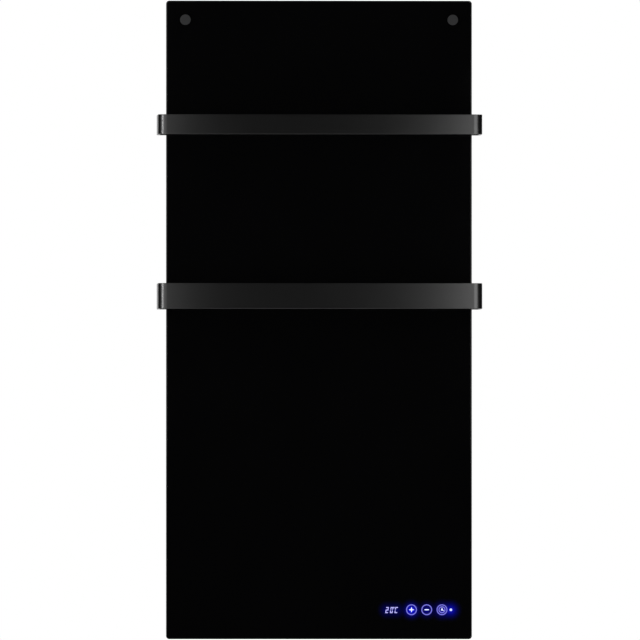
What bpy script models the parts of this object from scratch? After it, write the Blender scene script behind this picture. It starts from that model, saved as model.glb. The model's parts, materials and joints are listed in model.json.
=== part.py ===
# Infrared bathroom heater: a black glass panel with two towel rails, held off the wall.
# Metres. The front faces -Y, the wall is the plane y = 0 and up is +Z.
# The origin is the centre of the wall rail's rear face, level with the two stand-offs.

import math

import bmesh
import bpy
from mathutils import Matrix, Vector

# Clearance between two pieces that touch, and around a piece in its hole
GAP = 0.0003

# Glass panel
GLASS_WIDTH = 0.479
GLASS_HEIGHT = 1.000
GLASS_THICKNESS = 0.005
GLASS_CORNER_RADIUS = 0.005
GLASS_EDGE_RADIUS = 0.0022
WALL_TO_GLASS = 0.045

# Stand-offs near the glass's top corners, and the rail that carries them on the wall
STANDOFF_SIDE_INSET = 0.030
STANDOFF_TOP_INSET = 0.030
BARREL_RADIUS = 0.009
BARREL_GROOVE_DEPTH = 0.001
BARREL_GROOVE_WIDTH = 0.003
STUD_RADIUS = 0.004
BUSH_WALL = 0.0015
BUSH_FLANGE_RADIUS = 0.010
BUSH_FLANGE_THICKNESS = 0.0015
BUSH_END_INSET = 0.0005
WASHER_RADIUS = 0.0074
WASHER_THICKNESS = 0.0008
CAP_RADIUS = 0.0083
CAP_THICKNESS = 0.005
CAP_EDGE_CHAMFER = 0.0008
CAP_FACE_WALL = 0.0015
WALL_RAIL_HEIGHT = 0.030
WALL_RAIL_THICKNESS = 0.002
WALL_RAIL_OVERHANG = 0.016
WALL_RAIL_CORNER_RADIUS = 0.004
WALL_SLOT_WIDTH = 0.006
WALL_SLOT_LENGTH = 0.014
WALL_SLOT_OFFSETS = (0.060, 0.150)

# Heating pack on the glass's rear face
MICA_THICKNESS = 0.0008
ELEMENT_THICKNESS = 0.0004
ELEMENT_RIBBON_WIDTH = 0.008
ELEMENT_RUNS = 14
ELEMENT_SIDE_MARGIN = 0.012
ELEMENT_TOP_MARGIN = 0.012
ELEMENT_RETURN_MARGIN = 0.008
ELEMENT_RETURN_SPACING = 0.020
ELEMENT_TAB_LENGTH = 0.010
ELEMENT_TAB_TO_CUTOUT = 0.025
INSULATION_THICKNESS = 0.008
INSULATION_TO_TRAY = 0.0035
PACK_SIDE_CLEARANCE = 0.010
PACK_TOP_CLEARANCE = 0.004
SERVICE_SPACE_HEIGHT = 0.024
CUTOUT_RADIUS = 0.008
CUTOUT_THICKNESS = 0.006
CUTOUT_TO_GROMMET = 0.030

# Rear tray of folded sheet, bonded to the glass through a gasket
SHEET_THICKNESS = 0.001
TRAY_SIDE_INSET = 0.0445
TRAY_TOP_INSET = 0.060
TRAY_BOTTOM_INSET = 0.095
TRAY_CORNER_RADIUS = 0.008
TRAY_FLANGE_WIDTH = 0.008
GASKET_THICKNESS = 0.001

# Towel rails, each one bent strip
RAIL_THICKNESS = 0.004
RAIL_OVERHANG = 0.0143
RAIL_CLEAR_DEPTH = 0.061
RAIL_FRONT_BEND_RADIUS = 0.012
RAIL_REAR_BEND_RADIUS = 0.006
RAIL_TAB_LENGTH = 0.100
RAIL_EDGE_ROUND = 0.0006
UPPER_RAIL_HEIGHT = 0.031
UPPER_RAIL_DROP = 0.195
LOWER_RAIL_HEIGHT = 0.040
LOWER_RAIL_DROP = 0.4635
RAIL_SCREW_INSET = 0.012
RAIL_SCREW_PITCH = 0.016

# Screws
SCREW_SHANK_RADIUS = 0.002
SCREW_HEAD_RADIUS = 0.0036
SCREW_HEAD_HEIGHT = 0.0022
SCREW_CROWN_RADIUS = 0.0029
SCREW_HEAD_SIDE = 0.0013
SCREW_CROSS_LENGTH = 0.0042
SCREW_CROSS_WAIST = 0.0010
SCREW_CROSS_TIP = 0.00085
SCREW_CROSS_DEPTH = 0.0010
RAIL_SCREW_GRIP = 0.002
COVER_SCREW_GRIP = 0.008

# Spacers that keep the lower end off the wall
SPACER_RADIUS = 0.011
SPACER_STUD_RADIUS = 0.003
SPACER_STUD_LENGTH = 0.002
SPACER_SIDE_INSET = 0.045
SPACER_BOTTOM_INSET = 0.030
PAD_RADIUS = 0.0095
PAD_THICKNESS = 0.002

# Control box behind the lower right of the glass
CONTROL_WIDTH = 0.146
CONTROL_HEIGHT = 0.066
CONTROL_DEPTH = 0.028
CONTROL_WALL = 0.002
CONTROL_RIGHT_INSET = 0.0135
CONTROL_BOTTOM_INSET = 0.016
CONTROL_CORNER_RADIUS = 0.004
CONTROL_BOSS_SIDE = 0.012
COVER_THICKNESS = 0.002
COVER_SCREW_INSET = 0.0052
VENT_COUNT = 6
VENT_PITCH = 0.008
VENT_WIDTH = 0.003
VENT_LENGTH = 0.026
VENT_FIRST_X = 0.024

# Lit symbols, seen through the glass and let into its face by a hair.
# Their offsets are from the control box's middle.
CONTROL_ROW_HEIGHT = 0.046
SYMBOL_RECESS = 0.0003
KEY_OFFSET = -0.0081
KEY_PITCH = 0.0239
KEY_RING_RADIUS = 0.0077
KEY_RING_STROKE = 0.0015
KEY_SIGN_LENGTH = 0.0074
KEY_SIGN_TIP = 0.0009
PLUS_WAIST = 0.0021
MINUS_WAIST = 0.0017
TIMER_RING_RADIUS = 0.0047
TIMER_HAND_RADIUS = 0.0015
STATUS_LED_OFFSET = 0.0536
STATUS_LED_RADIUS = 0.0021
DIGIT_OFFSET = -0.0464
DIGIT_DROP = 0.0005
DIGIT_HEIGHT = 0.0093
DIGIT_WIDTH = 0.0041
DIGIT_STROKE = 0.0012
DIGIT_BAR_GAP = 0.0002
DIGIT_SLANT = 0.16
DIGIT_PITCH = 0.0072
DEGREE_SIDE = 0.0018
DEGREE_STROKE = 0.0005
DEGREE_SHIFT = 0.0005

# Boards and what stands on them
TOUCH_FILM_THICKNESS = 0.0005
TOUCH_FILM_HEIGHT = 0.022
LIGHT_GUIDE_LENGTH = 0.0045
DISPLAY_BOARD_THICKNESS = 0.0012
DISPLAY_MODULE_WIDTH = 0.027
DISPLAY_MODULE_HEIGHT = 0.015
COMPONENT_EDGE_CHAMFER = 0.0005
POWER_BOARD_THICKNESS = 0.0016
BOARD_SPACING = 0.005
RELAY_SIZE = (0.020, 0.0125, 0.015)
RELAY_PLACE = (0.080, 0.050)
TRANSFORMER_SIZE = (0.022, 0.012, 0.022)
TRANSFORMER_PLACE = (0.028, 0.047)
TERMINALS_SIZE = (0.025, 0.011, 0.012)
TERMINALS_PLACE = (0.056, 0.014)
TERMINAL_HOLE_RADIUS = 0.0016
TERMINAL_HOLE_DEPTH = 0.006
TERMINAL_PITCH = 0.008

# Cable inlet, room sensor and the grommet between box and tray
GLAND_X = 0.026
GLAND_BORE_RADIUS = 0.00375
GLAND_NECK_RADIUS = 0.0055
GLAND_FLANGE_RADIUS = 0.0066
GLAND_FLANGE_LENGTH = 0.003
GLAND_NOSE_LENGTH = 0.012
GLAND_NOSE_RADIUS = 0.0048
SENSOR_TO_BOSS = 0.0024
SENSOR_RADIUS = 0.0022
SENSOR_NOSE_RADIUS = 0.0013
SENSOR_FLANGE_RADIUS = 0.0036
SENSOR_FLANGE_LENGTH = 0.003
SENSOR_REACH = 0.004
GROMMET_OFFSET = 0.060
GROMMET_RADIUS = 0.0045
GROMMET_BORE_RADIUS = 0.0032
GROMMET_FLANGE_RADIUS = 0.006
GROMMET_FLANGE_THICKNESS = 0.0015
LEAD_RADIUS = 0.0009
LEAD_SPACING = 0.0026
LEAD_BOARD_DROP = 0.016
LEAD_BOARD_RISE = 0.008
LEAD_STRAIGHT = 0.001
LEAD_SPREAD = 0.0015
LEAD_SPREAD_HEIGHT = 0.004
LEAD_BEND = 0.006
LEAD_SAG = 0.002

# Power switch in the box's right side
SWITCH_BODY_HEIGHT = 0.020
SWITCH_BODY_WIDTH = 0.0126
SWITCH_BODY_DEPTH = 0.020
BEZEL_MARGIN = 0.0008
BEZEL_THICKNESS = 0.0015
HINGE_DEPTH = 0.003
ROCKER_WIDTH = 0.0094
ROCKER_END_REACH = 0.0069
ROCKER_END_HEIGHT = 0.0043
ROCKER_MIDDLE_HEIGHT = 0.0032
ROCKER_FOOT_REACH = 0.0045
ROCKER_FOOT_DEPTH = 0.0025
ROCKER_TILT = math.radians(12)
ROCKER_SWEEP_CLEARANCE = 0.0004
PIN_RADIUS = 0.0012
PIN_REACH = 0.0059

# Facets of round shapes
ROUND_STEPS = 32
SMALL_ROUND_STEPS = 12
CORNER_STEPS = 5
BEND_STEPS = 12
GLASS_EDGE_STEPS = 4

# Places that follow from the sizes
GLASS_REAR_Y = -WALL_TO_GLASS
GLASS_FRONT_Y = GLASS_REAR_Y - GLASS_THICKNESS
GLASS_TOP_Z = STANDOFF_TOP_INSET
GLASS_BOTTOM_Z = GLASS_TOP_Z - GLASS_HEIGHT
STANDOFF_X = GLASS_WIDTH / 2 - STANDOFF_SIDE_INSET
GLASS_HOLE_RADIUS = STUD_RADIUS + GAP + BUSH_WALL + GAP

MICA_FRONT_Y = GLASS_REAR_Y + GAP
ELEMENT_Y = MICA_FRONT_Y + MICA_THICKNESS + GAP
MICA_REAR_Y = ELEMENT_Y + ELEMENT_THICKNESS + GAP
INSULATION_Y = MICA_REAR_Y + MICA_THICKNESS + GAP
TRAY_REAR_Y = INSULATION_Y + INSULATION_THICKNESS + INSULATION_TO_TRAY + SHEET_THICKNESS
TRAY_FLANGE_REAR_Y = GLASS_REAR_Y + GAP + GASKET_THICKNESS + GAP + SHEET_THICKNESS
TRAY_HALF_WIDTH = GLASS_WIDTH / 2 - TRAY_SIDE_INSET
TRAY_TOP_Z = GLASS_TOP_Z - TRAY_TOP_INSET
TRAY_BOTTOM_Z = GLASS_BOTTOM_Z + TRAY_BOTTOM_INSET
PACK_HALF_WIDTH = TRAY_HALF_WIDTH - SHEET_THICKNESS - PACK_SIDE_CLEARANCE
PACK_TOP_Z = TRAY_TOP_Z - SHEET_THICKNESS - PACK_TOP_CLEARANCE
PACK_BOTTOM_Z = TRAY_BOTTOM_Z + SHEET_THICKNESS + SERVICE_SPACE_HEIGHT
SERVICE_Z = TRAY_BOTTOM_Z + SHEET_THICKNESS + SERVICE_SPACE_HEIGHT / 2

RAIL_HALF_WIDTH = GLASS_WIDTH / 2 + RAIL_OVERHANG
RAIL_FRONT_Y = GLASS_FRONT_Y - RAIL_CLEAR_DEPTH - RAIL_THICKNESS
RAIL_TAB_REAR_Y = TRAY_REAR_Y + GAP + RAIL_THICKNESS
RAIL_TAB_END_X = RAIL_HALF_WIDTH - RAIL_TAB_LENGTH
RAIL_SCREW_X = RAIL_TAB_END_X + RAIL_SCREW_INSET
UPPER_RAIL_Z = GLASS_TOP_Z - UPPER_RAIL_DROP
LOWER_RAIL_Z = GLASS_TOP_Z - LOWER_RAIL_DROP

SPACER_X = TRAY_HALF_WIDTH - SPACER_SIDE_INSET
SPACER_Z = TRAY_BOTTOM_Z + SPACER_BOTTOM_INSET

CONTROL_RIGHT_X = GLASS_WIDTH / 2 - CONTROL_RIGHT_INSET
CONTROL_LEFT_X = CONTROL_RIGHT_X - CONTROL_WIDTH
CONTROL_LOW_Z = GLASS_BOTTOM_Z + CONTROL_BOTTOM_INSET
CONTROL_HIGH_Z = CONTROL_LOW_Z + CONTROL_HEIGHT
CONTROL_FRONT_Y = GLASS_REAR_Y + GAP
CONTROL_REAR_Y = CONTROL_FRONT_Y + CONTROL_DEPTH
CONTROL_ROW_Z = GLASS_BOTTOM_Z + CONTROL_ROW_HEIGHT
CONTROL_X = (CONTROL_LEFT_X + CONTROL_RIGHT_X) / 2
DIGITS_X = CONTROL_X + DIGIT_OFFSET
KEY_FIRST_X = CONTROL_X + KEY_OFFSET
STATUS_LED_X = CONTROL_X + STATUS_LED_OFFSET
LIGHT_GUIDE_Y = GLASS_REAR_Y + GAP + TOUCH_FILM_THICKNESS + GAP
DISPLAY_BOARD_Y = LIGHT_GUIDE_Y + LIGHT_GUIDE_LENGTH + GAP
POWER_BOARD_Y = DISPLAY_BOARD_Y + DISPLAY_BOARD_THICKNESS + BOARD_SPACING
POWER_BOARD_REAR_Y = POWER_BOARD_Y + POWER_BOARD_THICKNESS
REAR_SPACE_Y = (POWER_BOARD_REAR_Y + CONTROL_REAR_Y) / 2
LEADS_Y = POWER_BOARD_Y - GAP - LEAD_RADIUS
SENSOR_X = CONTROL_RIGHT_X - CONTROL_WALL - CONTROL_BOSS_SIDE - SENSOR_TO_BOSS - SENSOR_FLANGE_RADIUS
GROMMET_X = CONTROL_LEFT_X + GROMMET_OFFSET
GROMMET_Y = (TRAY_FLANGE_REAR_Y + TRAY_REAR_Y - SHEET_THICKNESS) / 2
CUTOUT_X = GROMMET_X - CUTOUT_TO_GROMMET
ELEMENT_TAB_X = CUTOUT_X - ELEMENT_TAB_TO_CUTOUT
HINGE_X = CONTROL_RIGHT_X - HINGE_DEPTH
SWITCH_Z = (CONTROL_LOW_Z + CONTROL_HIGH_Z) / 2

parts = None
cutters = None


# Scene and materials


def new_collection(name):
    collection = bpy.data.collections.new(name)
    bpy.context.scene.collection.children.link(collection)
    return collection


def material(name, colour, roughness, metallic=0.0):
    made = bpy.data.materials.new(name)
    made.use_nodes = True
    shader = made.node_tree.nodes["Principled BSDF"]
    shader.inputs["Base Color"].default_value = (*colour, 1.0)
    shader.inputs["Roughness"].default_value = roughness
    shader.inputs["Metallic"].default_value = metallic
    made.diffuse_color = (*colour, 1.0)
    return made


# Shapes


def add_object(name, mesh, finish, location=(0, 0, 0), rotation=(0, 0, 0)):
    """A mesh as an object: a part with its material or, with no finish, a cutter."""
    made = bpy.data.objects.new(name, mesh)
    made.location = location
    made.rotation_euler = rotation
    if finish:
        parts.objects.link(made)
        made.data.materials.clear()
        made.data.materials.append(finish)
    else:
        cutters.objects.link(made)
        made.hide_render = True
        made.display_type = "WIRE"
    return made


def shade_round(mesh):
    mesh.shade_smooth()
    mesh.set_sharp_from_angle(angle=math.radians(35))


def evaluated_mesh(source, weld=True):
    """The object's mesh with its modifiers, or its curve as a mesh, with its seams welded."""
    bpy.context.view_layer.update()
    graph = bpy.context.evaluated_depsgraph_get()
    mesh = bpy.data.meshes.new_from_object(source.evaluated_get(graph))
    if not weld:
        return mesh
    work = bmesh.new()
    work.from_mesh(mesh)
    bmesh.ops.remove_doubles(work, verts=work.verts, dist=0.000005)
    work.to_mesh(mesh)
    work.free()
    return mesh


def block(name, low, high, finish, bevel=0.0):
    """A box between two corners."""
    low, high = Vector(low), Vector(high)
    work = bmesh.new()
    bmesh.ops.create_cube(work, size=1.0)
    bmesh.ops.scale(work, vec=high - low, verts=work.verts)
    mesh = bpy.data.meshes.new(name)
    work.to_mesh(mesh)
    work.free()
    made = add_object(name, mesh, finish, (low + high) / 2)
    if bevel:
        soften(made, bevel)
    return made


def turned(name, profile, finish, location, rotation=(0, 0, 0), steps=ROUND_STEPS):
    """A profile of (radius, height) points, down its outer side, turned about its own Z.

    A profile that starts and ends on the axis is a solid, any other is closed into a ring.
    """
    work = bmesh.new()
    points = [work.verts.new((radius, 0, height)) for radius, height in profile]
    for first, second in zip(points, points[1:]):
        work.edges.new((first, second))
    if profile[0][0] > 0:
        work.edges.new((points[-1], points[0]))
    mesh = bpy.data.meshes.new(name)
    work.to_mesh(mesh)
    work.free()
    draft = bpy.data.objects.new(name, mesh)
    cutters.objects.link(draft)
    screw = draft.modifiers.new("Turn", "SCREW")
    screw.steps = steps
    screw.render_steps = steps
    screw.use_merge_vertices = True
    screw.merge_threshold = 0.00001
    turned_mesh = evaluated_mesh(draft)
    bpy.data.objects.remove(draft)
    shade_round(turned_mesh)
    made = add_object(name, turned_mesh, finish, location, rotation)
    return made


def cylinder_profile(radius, low, high, edge=0.0):
    """The profile of a cylinder, with an optional chamfer at its high end."""
    if edge:
        return [(0, high), (radius - edge, high), (radius, high - edge), (radius, low), (0, low)]
    return [(0, high), (radius, high), (radius, low), (0, low)]


def ring_profile(outer, inner, low, high):
    return [(outer, high), (outer, low), (inner, low), (inner, high)]


def extruded(name, loops, finish, location, thickness, rotation=(0, 0, 0)):
    """A flat outline with its holes, as thick as given, centred on its location."""
    curve = bpy.data.curves.new(name, "CURVE")
    curve.dimensions = "2D"
    curve.fill_mode = "BOTH"
    curve.extrude = thickness / 2
    for loop in loops:
        spline = curve.splines.new("POLY")
        spline.points.add(len(loop) - 1)
        for point, (x, y) in zip(spline.points, loop):
            point.co = (x, y, 0, 1)
        spline.use_cyclic_u = True
    draft = bpy.data.objects.new(name, curve)
    draft.location = location
    draft.rotation_euler = rotation
    cutters.objects.link(draft)
    mesh = evaluated_mesh(draft)
    placed = draft.matrix_world.copy()
    bpy.data.objects.remove(draft)
    shade_round(mesh)
    made = add_object(name, mesh, finish)
    made.matrix_world = placed
    return made


def plate(name, loops, finish, front_y, thickness):
    """An upright plate whose outline is drawn in X and Z."""
    return extruded(name, loops, finish, (0, front_y + thickness / 2, 0), thickness, (math.pi / 2, 0, 0))


def soften(target, width, segments=1):
    bevel = target.modifiers.new("Edges", "BEVEL")
    bevel.width = width
    bevel.segments = segments
    bevel.limit_method = "ANGLE"
    bevel.angle_limit = math.radians(40)


def cut(target, cutter):
    boolean = target.modifiers.new("Cut " + cutter.name, "BOOLEAN")
    boolean.operation = "DIFFERENCE"
    boolean.object = cutter


def join(target, other):
    boolean = target.modifiers.new("Join " + other.name, "BOOLEAN")
    boolean.operation = "UNION"
    boolean.object = other


def drill(target, name, centres, radius, length, direction, steps=SMALL_ROUND_STEPS):
    """Round holes through the target at the given centres, cut by one cutter."""
    turn = Vector(direction).to_track_quat("Z", "Y").to_matrix().to_4x4()
    work = bmesh.new()
    for centre in centres:
        bmesh.ops.create_cone(
            work,
            cap_ends=True,
            segments=steps,
            radius1=radius,
            radius2=radius,
            depth=length,
            matrix=Matrix.Translation(centre) @ turn,
        )
    mesh = bpy.data.meshes.new(name)
    work.to_mesh(mesh)
    work.free()
    cut(target, add_object(name, mesh, None))


def tube(name, route, radius, finish):
    """A round lead along a smooth curve through the route's points."""
    per_span = 4
    points = []
    padded = [route[0], *route, route[-1]]
    for a, b, c, d in zip(padded, padded[1:], padded[2:], padded[3:]):
        a, b, c, d = Vector(a), Vector(b), Vector(c), Vector(d)
        square, cube = 2 * a - 5 * b + 4 * c - d, 3 * b - a - 3 * c + d
        for step in range(per_span):
            t = step / per_span
            points.append(0.5 * (2 * b + (c - a) * t + square * t**2 + cube * t**3))
    points.append(Vector(route[-1]))
    curve = bpy.data.curves.new(name, "CURVE")
    curve.dimensions = "3D"
    curve.bevel_depth = radius
    curve.bevel_resolution = 2
    curve.use_fill_caps = True
    spline = curve.splines.new("POLY")
    spline.points.add(len(points) - 1)
    for point, place in zip(spline.points, points):
        point.co = (*place, 1)
    made = bpy.data.objects.new(name, curve)
    parts.objects.link(made)
    curve.materials.append(finish)
    return made


# Outlines


def circle(x, y, radius, steps=ROUND_STEPS):
    angles = [2 * math.pi * step / steps for step in range(steps)]
    return [(x + radius * math.cos(a), y + radius * math.sin(a)) for a in angles]


def rounded_rectangle(left, low, right, high, radius, steps=CORNER_STEPS):
    corners = (
        (right - radius, high - radius, 0),
        (left + radius, high - radius, 90),
        (left + radius, low + radius, 180),
        (right - radius, low + radius, 270),
    )
    points = []
    for x, y, start in corners:
        for step in range(steps + 1):
            angle = math.radians(start + 90 * step / steps)
            points.append((x + radius * math.cos(angle), y + radius * math.sin(angle)))
    return points


def rectangle(left, low, right, high):
    return [(left, low), (right, low), (right, high), (left, high)]


def cut_corner_rectangle(left, low, right, high, side):
    """A rectangle whose corners are cut off at 45 degrees."""
    return [
        (left + side, low),
        (right - side, low),
        (right, low + side),
        (right, high - side),
        (right - side, high),
        (left + side, high),
        (left, high - side),
        (left, low + side),
    ]


def cross(x, y, length, waist, tip):
    """A plus sign whose arms narrow from the waist between them to their tips."""
    long, thick, thin = length / 2, waist / 2, tip / 2
    arm = [(long, -thin), (long, thin), (thick, thick)]
    points = []
    for turn in range(4):
        c, s = (1, 0, -1, 0)[turn], (0, 1, 0, -1)[turn]
        points += [(x + c * u - s * v, y + s * u + c * v) for u, v in arm]
    return points


def dash(x, y, length, waist, tip):
    """A minus sign, thickest over its middle third."""
    long, thick, thin, middle = length / 2, waist / 2, tip / 2, length / 6
    top = [(long, thin), (middle, thick), (-middle, thick), (-long, thin)]
    return [(x + u, y + v) for u, v in top] + [(x - u, y - v) for u, v in top]


def strip_outline(path, radii, thickness, steps=BEND_STEPS):
    """The outline of a strip bent along a centre line; each inner corner has its own radius."""
    sides = []
    for offset in (thickness / 2, -thickness / 2):
        side = []
        count = len(path)
        for index, corner in enumerate(path):
            corner = Vector(corner)
            if index in (0, count - 1):
                ahead = Vector(path[1]) - corner if index == 0 else corner - Vector(path[-2])
                ahead.normalize()
                side.append(corner + offset * Vector((-ahead.y, ahead.x)))
                continue
            before = (corner - Vector(path[index - 1])).normalized()
            after = (Vector(path[index + 1]) - corner).normalized()
            turn = 1 if before.cross(after) > 0 else -1
            radius = radii[index - 1]
            centre = corner - before * radius + turn * radius * Vector((-before.y, before.x))
            reach = radius - turn * offset
            start = -turn * Vector((-before.y, before.x))
            for step in range(steps + 1):
                angle = turn * (math.pi / 2) * step / steps
                c, s = math.cos(angle), math.sin(angle)
                side.append(centre + reach * Vector((c * start.x - s * start.y, s * start.x + c * start.y)))
        sides.append([tuple(point) for point in side])
    return sides[0] + sides[1][::-1]


def ribbon_outline(path, width):
    """The outline of a flat ribbon with square corners along a path."""
    sides = []
    for offset in (width / 2, -width / 2):
        side = []
        for index, corner in enumerate(path):
            corner = Vector(corner)
            before = corner - Vector(path[index - 1]) if index else Vector(path[1]) - corner
            after = Vector(path[index + 1]) - corner if index < len(path) - 1 else before
            before, after = before.normalized(), after.normalized()
            left_before, left_after = Vector((-before.y, before.x)), Vector((-after.y, after.x))
            shift = left_before if before.dot(after) > 0.5 else left_before + left_after
            side.append(tuple(corner + offset * shift))
        sides.append(side)
    return sides[0] + sides[1][::-1]


# Glass and its lit symbols


def slanted(loop, x, z):
    """The loop leaned like an italic digit about its own centre, then put at x, z."""
    return [(x + u + DIGIT_SLANT * v, z + v) for u, v in loop]


def digit_loops(segments, x, z):
    """Bars of a seven-bar digit. A is the top bar, G the middle one, the others go round."""
    half_width, half_height, stroke = DIGIT_WIDTH / 2, DIGIT_HEIGHT / 2, DIGIT_STROKE
    split = DIGIT_BAR_GAP
    flat_inset = stroke + split
    bars = {
        "A": (-half_width, half_height - stroke, half_width, half_height),
        "B": (half_width - stroke, stroke / 2 + split, half_width, half_height - flat_inset),
        "C": (half_width - stroke, -half_height + flat_inset, half_width, -stroke / 2 - split),
        "D": (-half_width, -half_height, half_width, -half_height + stroke),
        "E": (-half_width, -half_height + flat_inset, -half_width + stroke, -stroke / 2 - split),
        "F": (-half_width, stroke / 2 + split, -half_width + stroke, half_height - flat_inset),
        "G": (-half_width, -stroke / 2, half_width, stroke / 2),
    }
    return [slanted(rectangle(*bars[segment]), x, z) for segment in segments]


def symbol_loops():
    """Outlines of every lit symbol, as groups that are each cut on their own."""
    z = CONTROL_ROW_Z
    groups = []
    digit_z = z - DIGIT_DROP
    for index, text in enumerate(("ABGED", "ABCDEF", "AFED")):
        groups.append(digit_loops(text, DIGITS_X + index * DIGIT_PITCH, digit_z))
    degree_x = DIGITS_X + 1.5 * DIGIT_PITCH - DEGREE_SHIFT
    degree_z = DIGIT_HEIGHT / 2 - DEGREE_SIDE / 2
    half, inner = DEGREE_SIDE / 2, DEGREE_SIDE / 2 - DEGREE_STROKE
    groups.append(
        [
            slanted(rectangle(-half, degree_z - half, half, degree_z + half), degree_x, digit_z),
            slanted(rectangle(-inner, degree_z - inner, inner, degree_z + inner), degree_x, digit_z),
        ]
    )
    for index in range(3):
        x = KEY_FIRST_X + index * KEY_PITCH
        groups.append([circle(x, z, KEY_RING_RADIUS + side * KEY_RING_STROKE / 2) for side in (1, -1)])
    groups.append([cross(KEY_FIRST_X, z, KEY_SIGN_LENGTH, PLUS_WAIST, KEY_SIGN_TIP)])
    groups.append([dash(KEY_FIRST_X + KEY_PITCH, z, KEY_SIGN_LENGTH, MINUS_WAIST, KEY_SIGN_TIP)])
    timer_x = KEY_FIRST_X + 2 * KEY_PITCH
    groups.append([circle(timer_x, z, TIMER_RING_RADIUS + side * KEY_RING_STROKE / 2) for side in (1, -1)])
    groups.append([circle(timer_x, z, TIMER_HAND_RADIUS, SMALL_ROUND_STEPS)])
    groups.append([circle(STATUS_LED_X, z, STATUS_LED_RADIUS, SMALL_ROUND_STEPS)])
    return groups


def make_glass(finish):
    """The pane has a rounded, polished edge. Its holes and symbols are cut after that."""
    half = GLASS_WIDTH / 2
    outline = rounded_rectangle(-half, GLASS_BOTTOM_Z, half, GLASS_TOP_Z, GLASS_CORNER_RADIUS)
    glass = plate("front_glass", [outline], finish, GLASS_FRONT_Y, GLASS_THICKNESS)
    soften(glass, GLASS_EDGE_RADIUS, GLASS_EDGE_STEPS)
    holes = [(side * STANDOFF_X, GLASS_REAR_Y, 0) for side in (-1, 1)]
    drill(glass, "glass_holes", holes, GLASS_HOLE_RADIUS, 3 * GLASS_THICKNESS, (0, 1, 0), ROUND_STEPS)
    for index, loops in enumerate(symbol_loops()):
        depth = 2 * SYMBOL_RECESS
        cut(glass, plate(f"symbol_cutter_{index}", loops, None, GLASS_FRONT_Y - depth / 2, depth))


# Stand-offs


def make_wall_rail(finish):
    half_width = STANDOFF_X + WALL_RAIL_OVERHANG
    half_height = WALL_RAIL_HEIGHT / 2
    outline = rounded_rectangle(-half_width, -half_height, half_width, half_height, WALL_RAIL_CORNER_RADIUS)
    slots = []
    for offset in WALL_SLOT_OFFSETS:
        for side in (-1, 1):
            x, reach, half = side * offset, WALL_SLOT_LENGTH / 2, WALL_SLOT_WIDTH / 2
            slots.append(rounded_rectangle(x - reach, -half, x + reach, half, half))
    plate("wall_rail", [outline, *slots], finish, -WALL_RAIL_THICKNESS, WALL_RAIL_THICKNESS)


def make_standoff(side, name, steel, rubber, clear, dark):
    """One stand-off. Heights in the profiles are distances from the wall."""
    place, facing = (side * STANDOFF_X, 0, 0), (math.pi / 2, 0, 0)
    foot = WALL_RAIL_THICKNESS + GAP
    bush_top = WALL_TO_GLASS - GAP
    bush_foot = bush_top - BUSH_FLANGE_THICKNESS
    barrel_top = bush_foot - GAP
    glass_front = WALL_TO_GLASS + GLASS_THICKNESS
    washer_foot = glass_front + GAP
    cap_foot = washer_foot + WASHER_THICKNESS + GAP
    cap_top = cap_foot + CAP_THICKNESS
    stud_hole = STUD_RADIUS + GAP
    groove_top = (foot + barrel_top + BARREL_GROOVE_WIDTH) / 2
    groove_foot = groove_top - BARREL_GROOVE_WIDTH
    groove_radius = BARREL_RADIUS - BARREL_GROOVE_DEPTH
    barrel = [
        (BARREL_RADIUS, barrel_top),
        (BARREL_RADIUS, groove_top),
        (groove_radius, groove_top),
        (groove_radius, groove_foot),
        (BARREL_RADIUS, groove_foot),
        (BARREL_RADIUS, foot),
        (stud_hole, foot),
        (stud_hole, barrel_top),
    ]
    turned("standoff_barrel_" + name, barrel, steel, place, facing)
    stud_top = cap_top - CAP_FACE_WALL - GAP
    stud = cylinder_profile(STUD_RADIUS, foot, stud_top, CAP_EDGE_CHAMFER)
    turned("standoff_stud_" + name, stud, steel, place, facing, SMALL_ROUND_STEPS)
    collar_radius = stud_hole + BUSH_WALL
    bush = [
        (collar_radius, glass_front - BUSH_END_INSET),
        (collar_radius, bush_top),
        (BUSH_FLANGE_RADIUS, bush_top),
        (BUSH_FLANGE_RADIUS, bush_foot),
        (stud_hole, bush_foot),
        (stud_hole, glass_front - BUSH_END_INSET),
    ]
    turned("glass_bush_" + name, bush, rubber, place, facing)
    washer = ring_profile(WASHER_RADIUS, stud_hole, washer_foot, washer_foot + WASHER_THICKNESS)
    turned("front_washer_" + name, washer, clear, place, facing)
    bore_top = cap_top - CAP_FACE_WALL
    cap = [
        (0, cap_top),
        (CAP_RADIUS - CAP_EDGE_CHAMFER, cap_top),
        (CAP_RADIUS, cap_top - CAP_EDGE_CHAMFER),
        (CAP_RADIUS, cap_foot),
        (stud_hole, cap_foot),
        (stud_hole, bore_top),
        (0, bore_top),
    ]
    turned("cap_" + name, cap, dark, place, facing, 2 * ROUND_STEPS)


# Heating pack


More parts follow.
